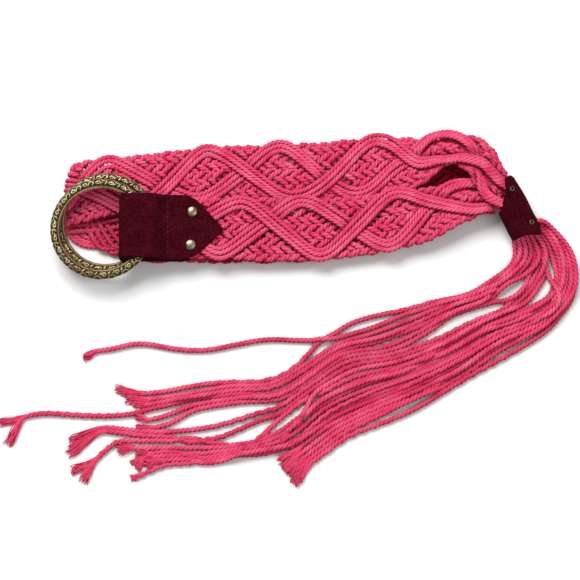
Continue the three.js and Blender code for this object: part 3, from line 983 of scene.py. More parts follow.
    def lines(self) -> tuple[list[Array], list[Array]]:
        """Works out every cord's middle line, in the layout frame, and its height in the weave."""
        u = self.stations()
        width = self.path.width_at(u)
        gathered, packed = (
            smoothstep(-width, -wide, -narrow) for wide, narrow in (self.gathering, self.packing)
        )
        end = self.path.length + 1
        knots = np.array([0, *self.lag_between, end])
        braided = np.interp(u, knots, knots - self.back_lag * np.array([0, 0, 1, 1]))
        rng = np.random.default_rng(13)
        float_half = width / 2 - CORD.radius + self.float_reach * width / BAND_WIDTH
        ground_half = width / 2 - CORD.radius + self.ground_reach * width / BAND_WIDTH
        top_wave = self.wave(braided - self.first_centre, float_half)
        waves = {
            Rank.LOW_FLOAT: self.wave(braided - self.second_centre, float_half),
            Rank.TOP_FLOAT: top_wave,
        }
        above = self.weave_rise + self.float_rise
        lines, levels = [], []
        for cord, rank in enumerate(self.ranks):
            lengths, starts = rng.uniform(*self.wobble_steps, 3), rng.uniform(0, TURN, 3)
            wobble = sum(
                self.wobble * np.sin(u / step + start) for step, start in zip(lengths, starts)
            )
            if rank:
                middle, spread = waves[rank]
                place = cord - self.ranks.index(rank) - 1
                v = middle + place * self.gap(float_half) * spread
                v = v + wobble * self.float_wobble * (1 - packed)
                dip = 1 - smoothstep(np.abs(v - top_wave[0]), *self.low_float_dip)
                level = above - (above + self.weave_rise) * dip * (rank == Rank.LOW_FLOAT)
            else:
                at = (braided - self.offsets[cord]) % self.period
                across = self.looked_up(at, self.zigzag(self.ground_blur))
                v = across * ground_half + wobble * (1 - packed)
                level = self.looked_up(at, self.heights(cord))
                for middle, spread in waves.values():
                    dip = 1 - smoothstep(np.abs(v - middle) / spread, *self.ground_dip)
                    level = level - np.maximum(level + self.weave_rise, 0) * dip
            share = np.clip(v / (width / 2), -self.widest, self.widest)
            body = (self.path.bundle_height / 2 - CORD.radius) * np.sqrt(1 - share**2)
            body = body * (1 - self.bundle_press * packed * (cord % 2))
            bundled = np.clip(level / self.weave_rise, -self.bundle_level, self.bundle_level) * body
            line = self.path.lay(u, v, level * (1 - gathered) + bundled * gathered)
            line[:, 2] = np.maximum(line[:, 2], CORD.radius * (1.0 if rank else 1.2))
            lines.append(line)
            levels.append(level)
        return lines, levels

    def build(self, material: Material) -> list[Piece]:
        """Makes the band in three pieces: the floating cords, and the ground cords in two halves.

        Args:
            material: The cord's material.

        Returns:
            The pieces.
        """
        lines, levels = self.lines()
        rng = np.random.default_rng(11)
        turns, tints = rng.uniform(0, TURN, self.cords), rng.uniform(0.2, 0.9, self.cords)
        floats = [cord for cord, rank in enumerate(self.ranks) if rank]
        ground = [cord for cord, rank in enumerate(self.ranks) if not rank]
        half = len(ground) // 2
        groups = {
            "band_floating_cords": floats,
            "band_ground_cords_first": ground[:half],
            "band_ground_cords_second": ground[half:],
        }
        pieces = []
        for name, members in groups.items():
            skin = Skin()
            for cord in members:
                level = np.clip(levels[cord] / self.weave_rise, -1, 1)
                girth = self.ground_girth + self.ground_swell * level
                if members is floats:
                    girth = np.full(len(level), self.float_girth)
                # Painted shade on cords low in the weave and on the whole run that lies under the
                # upper run.
                deep = np.maximum(self.deep_shade * smoothstep(-level, -0.5, 1), self.hidden())
                twisted_cord(skin, lines[cord], turns[cord], girth, tints[cord], deep)
            piece = skin.piece(name, material, "cord")
            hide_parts("braided_band")
            pieces.append(piece)
        return pieces


@dataclass(frozen=True)
class PictureScale:
    """How points of the photograph, 580 wide, lie on the layout frame at some height."""

    middle: float = 290.0
    millimetres: float = 0.62
    elevation: float = math.radians(70)

    def point(self, across: float, down: float, height: float = 1.7) -> Array:
        """Gives the layout point seen at a place in the photograph, at a height."""
        rise = (self.middle - down) * self.millimetres - height * math.cos(self.elevation)
        return np.array(
            [(across - self.middle) * self.millimetres, rise / math.sin(self.elevation), height]
        )


@dataclass(frozen=True)
class Tuft:
    """The loose threads of a cord's end: where they reach, in the photograph, and how wide."""

    reach: tuple[float, float]
    width: float = 2.6
    threads: int = 34


@dataclass(frozen=True)
class Strand:
    """One cord of the fringe.

    start is its place across and up in the collar. head gives picture points as it leaves the
    collar, with a height where it isn't on the surface yet. shares gives its way across each row
    of the fan, and tail picture points, with a height where it lies on top of others.
    """

    start: tuple[float, float]
    head: tuple[tuple[float, ...], ...]
    shares: tuple[float, ...]
    tail: tuple[tuple[float, ...], ...]
    tufts: tuple[Tuft, ...]
    girth: float = 1.0


@dataclass
class Collar:
    """The suede collar: a strip wound once round the gathered cords, its edge lapping over.

    The cuts give, at ways across the collar, how far each end's edge lies along it.
    """

    mouth: Place = (133.8, 58.2, 15.4)
    end: Place = (147.9, 32.2, 9.2)
    width: float = 20.0
    height: float = 15.4
    seam: float = 1.2
    mouth_cut: tuple[tuple[float, float], ...] = (
        (-9.8, 9.8), (-1.1, 0.5), (2.6, -8.2), (6.4, -8.6), (10, -5.8),
    )
    end_cut: tuple[tuple[float, float], ...] = (
        (-9.8, -2), (0, 0.5), (6, 2.9), (8.5, -2), (10, -10.5),
    )
    undercut: float = 0.75
    lap_start: float = math.radians(20)
    lap_rise: float = math.radians(25)
    lap_end: float = math.radians(82)
    lap_edge: float = 0.012
    skew: float = math.radians(20)
    wrinkles: float = 0.3
    edge_wave: float = 0.4
    rim: float = 0.35
    rim_length: float = 0.6
    sides: int = 132
    levels: int = 48

    def __post_init__(self) -> None:
        """Works out the collar's axes."""
        way = np.subtract(self.end, self.mouth)
        self.length = float(np.linalg.norm(way))
        self.axis = way / self.length
        self.side = unit(np.array([-self.axis[1], self.axis[0], 0.0]))
        self.up = np.cross(self.side, self.axis)
        if self.up[2] < 0:
            self.up = -self.up

    def inside(self, share: float, side: float, up: float) -> Array:
        """Gives a point at a share of the collar's length, square to its axis."""
        along = np.array(self.mouth) + self.axis * self.length * share
        return along + self.side * side + self.up * up

    def on_leather(self, share: float, side: float, up: float) -> Array:
        """Gives a point on the leather, whose two ends are cut on a slant."""
        mouth, end = (np.interp(side, *np.transpose(cut)) for cut in (self.mouth_cut, self.end_cut))
        cut = self.undercut * share * min(0.0, up)
        return self.inside(share, side, up) + self.axis * (mouth + (end - mouth) * share + cut)

    def wall(self, angle: float) -> float:
        """Gives the leather's thickness at an angle, double where its edge laps over."""
        angle %= TURN
        if not self.lap_start <= angle <= self.lap_end:
            return TAB_PLACE.leather
        rise = min(1.0, (angle - self.lap_start) / self.lap_rise)
        return TAB_PLACE.leather + self.seam * rise

    def angles(self) -> Array:
        """Gives the angles of the collar's sides, with two close together at the lapped edge."""
        even = np.arange(self.sides) * TURN / self.sides
        nearest = int(np.argmin(np.abs(even - self.lap_end)))
        even[nearest] = self.lap_end
        even[nearest + 1] = self.lap_end + self.lap_edge
        return even

    def leather_point(self, share: float, angle: float, outward: float, rough: Array) -> Array:
        """Gives a point of the leather.

        Args:
            share: Share of the collar's length.
            angle: Angle round the collar.
            outward: Way out from the leather's inner face.
            rough: Phases of the wrinkles.

        Returns:
            The point.
        """
        wrinkle = 0.0
        for k, phase in enumerate(rough):
            wrinkle += math.sin((k + 2) * angle + phase + share * (3 + 2 * k)) / (k + 1.5)
        grow = outward + self.wrinkles * wrinkle
        turned = angle + self.skew * (0.45 - share) * math.sin(angle) ** 2
        side = (self.width / 2 - TAB_PLACE.leather + grow) * math.cos(turned)
        up = (self.height / 2 - TAB_PLACE.leather + grow) * math.sin(turned)
        wave = self.edge_wave * math.sin(3 * angle + rough[0]) * max(share, 1 - share)
        return self.on_leather(share, side, up) + self.axis * wave

    def build(self, material: Material) -> Piece:
        """Makes the collar.

        Args:
            material: The suede's material.

        Returns:
            The piece.
        """
        rough = np.random.default_rng(5).uniform(0, TURN, 4)
        angles = self.angles()
        shares = np.linspace(0, 1, self.levels)
        outer = []
        for share in shares:
            from_end = min(share, 1 - share) * self.length
            inset = self.rim * max(0.0, 1 - from_end / self.rim_length)
            outer.append(
                [self.leather_point(share, a, self.wall(a) - inset, rough) for a in angles]
            )
        inner = [[self.leather_point(s, a, 0.0, rough) for a in angles] for s in shares[::-1]]
        skin = Skin()
        rings = np.array([*outer, *inner])
        skin.loft(rings, closed=True, groove=np.zeros(1), tint=np.full(1, 0.5))
        piece = skin.piece("collar_suede", material, "suede")
        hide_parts("suede_collar")
        return piece


@dataclass
class Eyelet:
    """A small dark eyelet set in the lapped leather of the collar."""

    name: str
    node: str
    share: float
    angle: float
    radius: float = 1.2
    rim: tuple[float, float] = (0.5, 0.45)
    lift: float = 0.35

    def build(self, collar: Collar, material: Material) -> Piece:
        """Makes the eyelet.

        Args:
            collar: The collar that it sits in.
            material: Its metal.

        Returns:
            The piece.
        """
        grow = collar.wall(self.angle) - TAB_PLACE.leather
        side = (collar.width / 2 + grow) * math.cos(self.angle)
        up = (collar.height / 2 + grow) * math.sin(self.angle)
        normal = collar.side * math.cos(self.angle) / collar.width
        normal = unit(normal + collar.up * math.sin(self.angle) / collar.height)
        centre = collar.on_leather(self.share, side, up)
        across = unit(np.cross(normal, collar.axis))
        along = np.cross(across, normal)
        turn = np.linspace(0, TURN, 12, endpoint=False)[:, None]
        circle = np.hstack([np.cos(turn), np.sin(turn)])
        local = lathe(circle * self.rim + [self.radius, self.lift], 28)
        rings = centre + local @ np.array([across, along, normal])
        skin = Skin()
        skin.loft(rings, closed=True, recess=np.full(1, 0.3))
        piece = skin.piece(self.name, material, "nickel")
        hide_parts(self.node)
        return piece


PICTURE = PictureScale()
INNER_STRANDS = (
    Strand(
        (-7.2, 0.6),
        ((516.5, 249, 4.5), (514.8, 260, 3.4), (506, 271, 2.4), (488, 283)),
        (0.03, 0.025, 0.03, 0.0),
        ((350, 325), (335, 334), (318, 343), (303, 357), (288, 371), (262, 379.5), (225, 382),
         (190, 387), (160, 391.5), (144, 392.5)),
        (Tuft((118, 389)),),
    ),
    Strand(
        (-5.4, 1.8),
        ((521.5, 249, 5), (519, 259, 4), (510, 271.5, 2.6), (491, 286)),
        (0.085, 0.08, 0.09, 0.1),
        ((352, 333), (332, 336.5, 3.5), (310, 338), (270, 339.5), (240, 346), (210, 350.5),
         (180, 348), (150, 342.5), (136, 342.5), (112, 348.5), (96, 350.5)),
        (Tuft((85, 356), 2.3, 26),),
    ),
    Strand(
        (-3.2, 3.0),
        ((527, 249, 6), (525.5, 258, 5), (514, 272, 3.2), (494, 288)),
        (0.13, 0.13, 0.15, 0.14, 0.02, 0.025, 0.08, 0.08, 0.09),
        ((160, 397), (149, 398)),
        (Tuft((128, 399)),),
    ),
    Strand(
        (-0.8, 3.4),
        ((533, 247, 5.5), (532, 257, 4), (520, 272, 2.4), (498, 289)),
        (0.18, 0.18, 0.21, 0.2, 0.06, 0.07, 0.13, 0.14, 0.145),
        ((165, 400), (152, 403), (146, 403.5)),
        (Tuft((136, 403), 2.2, 24),),
    ),
    Strand(
        (1.6, 3.6),
        ((539, 247, 8), (540.5, 256, 7.5), (531, 269.5, 6), (508, 282.5, 4)),
        (0.21, 0.21, 0.265, 0.26, 0.1, 0.115, 0.18, 0.2, 0.2),
        ((165, 405.5), (150, 409), (137, 411.8), (115, 412.5), (90, 412), (65, 411), (42, 411.5),
         (27, 415.5)),
        (Tuft((3, 421), 2.4, 26), Tuft((11, 439), 2.8, 34)),
    ),
    Strand(
        (-4.6, -2.2),
        ((524, 248), (522, 258), (511, 275), (492, 292)),
        (0.25, 0.25, 0.32, 0.31, 0.14, 0.16, 0.23, 0.26, 0.26),
        ((170, 413), (156, 417), (149, 418.5)),
        (Tuft((138, 416), 3.0, 34),),
    ),
    Strand(
        (0.4, -1.6),
        ((536, 248, 2.5), (536, 260, 2), (530.5, 272, 2.4), (526, 285, 2), (513, 298)),
        (0.275, 0.275, 0.365, 0.36, 0.175, 0.2, 0.275, 0.325, 0.32),
        ((172, 421), (158, 425), (151, 426)),
        (Tuft((139, 427), 3.0, 34),),
    ),
)
OUTER_STRANDS = (
    Strand(
        (3.4, -2.4),
        ((541, 246, 2), (541.5, 258), (538, 271), (527, 288), (509, 303)),
        (0.47, 0.46, 0.46, 0.41, 0.23, 0.25),
        ((281, 403.5), (256, 411), (240, 417), (220, 423), (195, 427), (150, 429.5), (125, 427.5),
         (108, 425)),
        (Tuft((75, 437), 3.6, 48),),
    ),
    Strand(
        (3.8, 3.2),
        ((545, 246.5, 6), (546.5, 256, 5.5), (545, 266, 5), (536, 282, 4), (523, 296, 3)),
        (0.51, 0.49, 0.5, 0.455, 0.29, 0.3),
        ((286, 409), (264, 417), (250, 422.5), (236, 428), (222, 434), (208, 438), (190, 437.5),
         (165, 434.5), (140, 432), (120, 429), (106, 428)),
        (Tuft((72, 447), 3.6, 48),),
    ),
    Strand(
        (4.6, -3.2),
        ((548, 246), (545.5, 262), (544, 276), (537, 288, 2.2), (528, 301, 2.6)),
        (0.53, 0.5, 0.54, 0.5, 0.35),
        ((336, 375.5, 6.5), (322, 383, 7.5), (312, 392, 8), (306, 404, 7.5), (301, 415, 6)),
        (Tuft((284, 436), 3.6, 48),),
    ),
    Strand(
        (6.4, -2.6),
        ((556, 246), (557.5, 262), (556, 281), (549, 297, 2), (536, 303, 2)),
        (0.59, 0.54, 0.58, 0.545, 0.41, 0.4),
        ((300, 400), (285, 412), (274, 422), (266, 429)),
        (Tuft((257, 443), 3.8, 50),),
    ),
    Strand(
        (6.6, 1.8),
        ((548, 234, 6), (555, 247, 5), (560, 258, 4), (561, 272, 3), (560, 284, 3), (552, 297, 3)),
        (0.65, 0.58, 0.62, 0.59, 0.47, 0.46),
        ((308, 410), (298, 419), (290, 425)),
        (Tuft((276, 440), 3.4, 44),),
    ),
    Strand(
        (4.4, 0.6),
        ((543.5, 246), (544, 258), (546, 270, 2), (550, 280, 5), (555.5, 290, 6),
         (557.5, 300, 5.5), (554, 309, 4.5), (545, 316.5, 3.5), (529, 323.5, 2.5)),
        (0.735, 0.62, 0.66, 0.635, 0.53, 0.52),
        ((288, 424), (262, 437), (240, 441), (200, 445), (160, 446), (134, 444.5)),
        (Tuft((121, 446), 4.0, 50),),
    ),
    Strand(
        (5.2, -0.8),
        ((549, 243), (553, 256), (556, 270), (556.5, 284, 2.4), (551, 298, 2.4)),
        (0.71, 0.61, 0.645, 0.62, 0.5, 0.49),
        ((289, 428), (262, 439.5), (235, 446), (205, 451), (175, 453), (155, 452)),
        (Tuft((139, 450), 4.0, 46),),
    ),
    Strand(
        (8.2, 0.8),
        ((544, 226, 6), (556, 241, 6), (562, 254, 5), (564, 268, 4), (563, 282, 3.4),
         (558, 297, 3)),
        (0.77, 0.66, 0.7, 0.68, 0.59, 0.58),
        ((292, 431), (264, 442), (238, 445), (215, 441.5), (190, 438.5), (160, 438), (135, 437),
         (120, 438), (108, 448), (98, 457.5)),
        (Tuft((77, 468), 2.8, 30), Tuft((86, 476), 2.8, 30)),
    ),
    Strand(
        (7.4, -2.0),
        ((546, 230, 3), (559, 244, 2.4), (566, 257, 1.8), (567.5, 271), (566.5, 285), (561, 299)),
        (0.8, 0.7, 0.74, 0.72, 0.65, 0.64),
        ((294, 438), (264, 446.5), (232, 449.5), (212, 455.5), (190, 459.5), (170, 460.5),
         (155, 466), (144, 471.5)),
        (Tuft((135, 475), 1.8, 20),),
        0.82,
    ),
    Strand(
        (7.0, 0.2),
        ((546, 232, 4), (559, 246, 3), (565, 258, 2.6), (566.5, 271, 2.2), (565, 285, 2.2),
         (559, 299, 2.2)),
        (0.82, 0.72, 0.76, 0.735, 0.67, 0.66),
        ((296, 440), (264, 448), (236, 452), (208, 457), (182, 455.5), (164, 456.5)),
        (Tuft((147, 461), 3.6, 44),),
    ),
    Strand(
        (8.6, 2.6),
        ((546, 224.5, 8), (561, 239.5, 8), (569, 253, 6.5), (571.5, 267, 5.5), (570.5, 283, 4.5),
         (565, 297, 3.6)),
        (0.84, 0.74, 0.78, 0.76, 0.71, 0.7),
        ((296, 442), (264, 449.5), (236, 449), (214, 454.5), (192, 452.5), (170, 448.5),
         (152, 452), (144, 455)),
        (Tuft((137, 462), 4.2, 52),),
    ),
    Strand(
        (8.0, -3.0),
        ((549, 231, 1.8), (562, 246), (569, 259), (570, 273), (568, 288), (562, 301)),
        (0.87, 0.78, 0.82, 0.8, 0.77, 0.76),
        ((318, 430), (305, 440), (298, 446)),
        (Tuft((281, 459), 3.4, 40),),
    ),
    Strand(
        (9.0, 0.2),
        ((549, 227, 5), (564, 242.5, 4), (572, 256, 3), (574, 271, 2.4), (572.5, 287, 2.2),
         (566, 301, 2)),
        (0.9, 0.815, 0.855, 0.84, 0.82, 0.82),
        ((320, 436), (308, 445), (299, 451)),
        (Tuft((283, 464), 3.4, 40),),
    ),
    Strand(
        (6.0, -4.0),
        ((551, 243), (562, 258), (563, 272), (562, 286), (557, 300)),
        (0.925, 0.85, 0.885, 0.875, 0.865, 0.87),
        ((322, 441), (310, 450), (302, 456)),
        (Tuft((288, 470), 3.4, 40),),
    ),
    Strand(
        (7.8, 4.0),
        ((545, 222.5, 10), (562, 237.5, 10), (571.5, 251, 9), (574.5, 266, 8), (574, 283, 7),
         (568, 298, 5.5)),
        (0.95, 0.885, 0.91, 0.905, 0.905, 0.92),
        ((325, 444), (313, 452.5), (305, 459)),
        (Tuft((297, 474), 3.2, 36),),
    ),
    Strand(
        (9.2, -1.6),
        ((551, 229, 2), (566, 243.5, 1.8), (573.5, 257), (575, 273), (573.5, 289), (568, 303),
         (556, 318)),
        (0.985, 0.98, 0.97, 0.975, 0.975, 0.975),
        ((326, 447), (315, 454.5), (307, 461)),
        (Tuft((293, 478), 3.0, 36),),
    ),
)


@dataclass
class Fringe:
    """The free cords past the collar, which fan out over the surface and end in loose threads.

    Each row of the fan gives x and y of its inner edge and of its outer edge. A cord starts at
    shares of the collar's length, each with a share of its place across and up there. Drift is
    the cords' slow wandering, kink the small waves that the braid has left. Pairs that end in
    from or over give lengths between which something grows; other pairs are ranges of chance.
    """

    collar: Collar
    starts: tuple[tuple[float, float], ...] = ((0.35, 0.64), (0.6, 0.8), (0.8, 1.0))
    fan: tuple[tuple[float, ...], ...] = (
        (110.4, -1.4, 160, -25.8),
        (90.5, -6.6, 137.8, -42.3),
        (69.4, -12.6, 111.8, -58.1),
        (47.1, -20.5, 85.8, -73.9),
        (27.9, -35.7, 59.8, -86.4),
        (8.1, -49.5, 33.1, -98.3),
        (-13.6, -58.7, 10.2, -108.2),
        (-38.4, -59.4, -18.4, -105.6),
        (-65.1, -64, -47.5, -108.8),
    )
    rest: float = 1.8
    upper_layer: float = 1.6
    spacing: float = 2.8
    drift: float = 0.022
    drift_steps: tuple[float, float] = (4.0, 22.0)
    drift_from: tuple[float, float] = (40.0, 80.0)
    drift_over: tuple[float, float] = (0.0, 60.0)
    drift_least: float = 0.3
    kink: tuple[float, float] = (0.05, 0.38)
    kink_steps: tuple[float, float] = (0.9, 1.6)
    kink_slow: tuple[float, float] = (12.0, 25.0)
    kink_from: tuple[float, float] = (70.0, 120.0)
    rounds: int = 70
    held: int = 6
    sink: float = 0.12
    closeness: float = 0.96
    push: tuple[float, float, float] = (0.12, 0.12, 0.52)
    smoothing: float = 0.22
    pull: float = 0.1
    line_step: float = 0.9
    first_piece: int = 11
    end_girth: float = 0.78
    swell: float = 0.3
    # low, low_from and low_shade paint shade on cords lying in the bottom layer, away from their
    # ends
    low: tuple[float, float] = (-3.4, -1.8)
    low_from: tuple[float, float] = (40.0, 90.0)
    low_shade: float = 0.35
    thread_size: float = 0.42
    thread_taper: float = 0.35
    thread_root: float = 3.0
    thread_floor: float = 0.3
    thread_reach: tuple[float, float] = (0.8, 1.06)
    thread_wave: tuple[float, float] = (0.2, 0.8)
    thread_turns: tuple[float, float] = (4.0, 12.0)
    thread_spread: float = 1.3
    thread_flatness: float = 0.75
    thread_drop: float = 2.2

    def route(self, strand: Strand, number: int, rng: np.random.Generator) -> Array:
        """Works out one cord's first route.

        Args:
            strand: The cord.
            number: Its number.
            rng: Source of its wandering.

        Returns:
            Points of the cord, evenly spaced.
        """
        side, up = strand.start
        points = [self.collar.inside(at, side * part, up * part) for at, part in self.starts]
        points += [PICTURE.point(*place) for place in strand.head]
        layer = self.rest + self.upper_layer * (number % 2)
        for (x0, y0, x1, y1), share in zip(self.fan, strand.shares):
            points.append(np.array([x0 + (x1 - x0) * share, y0 + (y1 - y0) * share, layer]))
        for across, down, *height in strand.tail:
            points.append(PICTURE.point(across, down, height[0] if height else self.rest))
        line = resampled(smooth_curve(np.array(points), 24)[0], self.spacing)
        along = lengths_along(line)
        lengths, phases = rng.uniform(*self.drift_steps, 4), rng.uniform(0, TURN, 4)
        drift = sum(self.drift * a * np.sin(along / a + b) for a, b in zip(lengths, phases))
        tail = self.drift_least + smoothstep(along[-1] - along, *self.drift_over)
        drift = drift * smoothstep(along, *self.drift_from) * tail
        return line + level_side(line) * drift[:, None]

    def settled(self, routes: list[Array]) -> list[Array]:
        """Lets the cords sink on to the surface and on to one another.

        Args:
            routes: The cords' first routes.

        Returns:
            Routes that keep a cord's thickness apart.
        """
        points = np.vstack(routes)
        owner = np.concatenate([np.full(len(s), k) for k, s in enumerate(routes)])
        order = np.concatenate([np.arange(len(s)) for s in routes])
        held = order < self.held
        inner = (order > 0) & np.append(owner[1:] == owner[:-1], False)
        index = np.nonzero(inner)[0]
        first = points.copy()
        reach = 2 * CORD.radius * self.closeness
        for _ in range(self.rounds):
            points[:, 2] -= self.sink
            square = np.sum(points**2, axis=1)
            near = square[:, None] + square[None] - 2 * points @ points.T < reach * reach
            a, b = np.nonzero(np.triu(near, 1))
            apart = (owner[a] != owner[b]) | (np.abs(order[a] - order[b]) > 2)
            a, b = a[apart], b[apart]
            way = points[b] - points[a]
            gap = np.maximum(np.linalg.norm(way, axis=1, keepdims=True), 1e-3)
            push = way / gap * (reach - gap) * self.push
            np.add.at(points, b, push)
            np.add.at(points, a, -push)
            centre = (points[index - 1] + points[index + 1]) / 2
            points[index] += (centre - points[index]) * self.smoothing
            points[:, :2] += (first[:, :2] - points[:, :2]) * self.pull
            points[:, 2] = np.maximum(points[:, 2], self.rest)
            points[held] = first[held]
        return np.split(points, np.cumsum([len(s) for s in routes])[:-1])

    def crinkled(self, line: Array, rng: np.random.Generator) -> Array:
        """Gives a cord's line the small kinks that the braid has left in it."""
        along = lengths_along(line)
        step, start = rng.uniform(*self.kink_steps), rng.uniform(0, TURN)
        slow = rng.uniform(*self.kink_slow)
        kink = rng.uniform(*self.kink) * (0.5 + 0.5 * np.sin(along / slow + start))
        wave = kink * np.sin(along / step + np.sin(along / 7.0 + start))
        wave = wave * smoothstep(along, *self.kink_from)
        return line + level_side(line) * wave[:, None]

    def tuft(self, skin: Skin, line: Array, tuft: Tuft, rng: np.random.Generator) -> None:
        """Adds the loose threads at one cord's end.

        Args:
            skin: The skin of the loose threads.
            line: The cord's middle line, whose last point is its end.
            tuft: Where they reach and how wide they spread.
            rng: Source of the threads' shapes.
        """
        tip = line[-1]
        reach = PICTURE.point(*tuft.reach, 1.2) - tip
        along, along_end = unit(tip - line[-6]), unit(reach)
        lift = np.array([0, 0, 1.0])
        side = unit(np.cross(along_end, lift))
        length = np.linalg.norm(reach) + self.thread_root
        corner = np.arange(4) * TURN / 4
        t = np.linspace(0, 1, 13)[:, None]
        for _ in range(tuft.threads):
            angle = rng.uniform(0, TURN)
            inner = CORD.radius * 0.8 * math.sqrt(rng.uniform(0, 1))
            outer = self.thread_spread * tuft.width * math.sqrt(rng.uniform(0.02, 1))
            out = inner + (outer - inner) * np.clip(t - 0.12, 0, 1)
            size, turns = rng.uniform(*self.thread_wave), rng.uniform(*self.thread_turns)
            wave = size * np.sin(t * turns + rng.uniform(0, 6)) * t
            grown = length * rng.uniform(*self.thread_reach)
            way = along * (1 - t) ** 2 + along_end * (1 - (1 - t) ** 2)
            thread = tip - along * self.thread_root + way * grown * t
            thread = thread + side * (math.cos(angle) * out + wave)
            thread = thread + lift * math.sin(angle) * out * self.thread_flatness
            thread[:, 2] -= t[:, 0] * max(0.0, tip[2] - self.thread_drop)
            floor = self.thread_floor + 0.5 * rng.uniform(0, 1)
            thread[:, 2] = np.maximum(thread[:, 2], floor)
            rings = tube(thread, self.thread_size * (1 - self.thread_taper * t), corner)
            # Painted shade: threads on the lower side of a tuft are darker.
            shade = rng.uniform(0, 0.7) * (1 if math.sin(angle) < 0.2 else 0.4)
            skin.loft(rings, groove=np.full(1, shade), tint=np.full(1, rng.uniform(0.1, 1)))

    def build(self, cord: Material, fray: Material) -> list[Piece]:
        """Makes the fringe: its inner and outer cords, and the loose threads at their ends.

        Args:
            cord: The cord's material.
            fray: The loose threads' material.

        Returns:
            The pieces.
        """
        rng = np.random.default_rng(41)
        strands = [*INNER_STRANDS, *OUTER_STRANDS]
        routes = self.settled([self.route(s, k, rng) for k, s in enumerate(strands)])
        fine = [resampled(smooth_curve(line, 4)[0], self.line_step) for line in routes]
        lines = [self.crinkled(line, rng) for line in fine]
        groups = {
            "fringe_cords_inner": range(self.first_piece),
            "fringe_cords_outer": range(self.first_piece, len(strands)),
        }
        pieces = []
        for name, members in groups.items():
            skin = Skin()
            for k in members:
                along = lengths_along(lines[k])
                left = along[-1] - along
                girth = strands[k].girth * (self.end_girth + self.swell * smoothstep(left, 0, 6))
                turn, tint = rng.uniform(0, TURN), rng.uniform(0.2, 0.9)
                # Painted shade on cords in the bottom layer, under the others.
                low = smoothstep(-lines[k][:, 2], *self.low)
                deep = self.low_shade * low * smoothstep(left, *self.low_from)
                twisted_cord(skin, lines[k], turn, girth, tint, deep)
            pieces.append(skin.piece(name, cord, "cord"))
        threads = Skin()
        for strand, line in zip(strands, lines):
            for tuft in strand.tufts:
                self.tuft(threads, line, tuft, rng)
        pieces.append(threads.piece("fringe_frays", fray, "cord"))
        for piece in pieces:
            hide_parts("cord_fringe")
        return pieces


@dataclass
class Ring:
    """An O-ring of round wire with scrolls in relief on its outer side."""

    name: str
    node: str
    centre: Place
    turn: float
    radius: float = RING_RADIUS
    wire: float = 3.12
    relief: float = 0.45
    ridge: float = 0.3
    motifs: int = 22
    per_motif: int = 34
    sides: int = 52

    def scroll_lines(self) -> Array:
        """Draws one bay of the scroll: a waving stem, two curls and small leaves.

        Returns:
            Points along the ring from 0 to 1 and round the wire in radians, in rows.
        """
        t = np.linspace(0, 1, 80)
        lines = [np.stack([t, 0.55 + 0.5 * np.sin(TURN * t)], axis=1)]
        curls = ((0.26, -0.35, 1), (0.74, 1.4, -1))
        leaves = (
            (0.02, 1.5, 0.16, 1.95), (0.36, 1.35, 0.5, 1.9), (0.52, -0.35, 0.62, -0.9),
            (0.86, -0.3, 0.98, -0.85), (0.48, 0.1, 0.56, -0.4), (0.0, 1.0, 0.06, 1.5),
        )
        for at, level, hand in curls:
            turn = np.linspace(0, 1.2 * TURN, 60)
            size = 0.21 * (1 - 0.62 * turn / turn[-1])
            curl_x = at + size * np.cos(turn + math.pi / 2)
            curl_y = level + hand * size * 2.2 * np.sin(turn + math.pi / 2)
            lines.append(np.stack([curl_x, curl_y], axis=1))
        for x0, y0, x1, y1 in leaves:
            s = np.linspace(0, 1, 16)
            bend = 0.06 * np.sin(math.pi * s)
            lines.append(np.stack([x0 + (x1 - x0) * s + bend, y0 + (y1 - y0) * s], axis=1))
        return np.vstack(lines)

    def heights(self) -> Array:
        """Works out the relief of one bay, from 0 in its recesses to 1 on its crests."""
        lines = self.scroll_lines()
        bay = TURN * self.radius / self.motifs
        x = np.arange(self.per_motif) / self.per_motif
        b = np.arange(self.sides) * TURN / self.sides
        b = np.where(b > math.radians(250), b - TURN, b)
        height = np.zeros((self.per_motif, self.sides))
        for shift in (-1, 0, 1):
            along = (x[:, None, None] - lines[None, None, :, 0] - shift) * bay
            round_it = (b[None, :, None] - lines[None, None, :, 1]) * self.wire
            near = np.sqrt(along**2 + round_it**2).min(axis=2)
            height = np.maximum(height, np.exp(-((near / self.ridge) ** 2)))
        plain = smoothstep(b, 2.15, 2.4) + smoothstep(-b, 1.35, 1.6)
        return height * (1 - plain)[None] + plain[None] * 0.75

    def build(self, material: Material) -> Piece:
        """Makes the ring.

        Args:
            material: The brass.

        Returns:
            The piece.
        """
        height = np.tile(self.heights(), (self.motifs, 1))
        a = np.arange(len(height)) * TURN / len(height) + self.turn
        b = np.arange(self.sides) * TURN / self.sides
        wire = self.wire - self.relief * (1 - height)
        reach = self.radius + wire * np.cos(b)
        local = np.stack(
            [reach * np.cos(a)[:, None], reach * np.sin(a)[:, None], wire * np.sin(b)], axis=-1
        )
        rings = TAB_PLACE.to_layout(local + np.array(self.centre))
        skin = Skin()
        skin.loft(rings, closed=True, recess=1 - height)
        piece = skin.piece(self.name, material, "brass")
        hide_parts(self.node)
        return piece


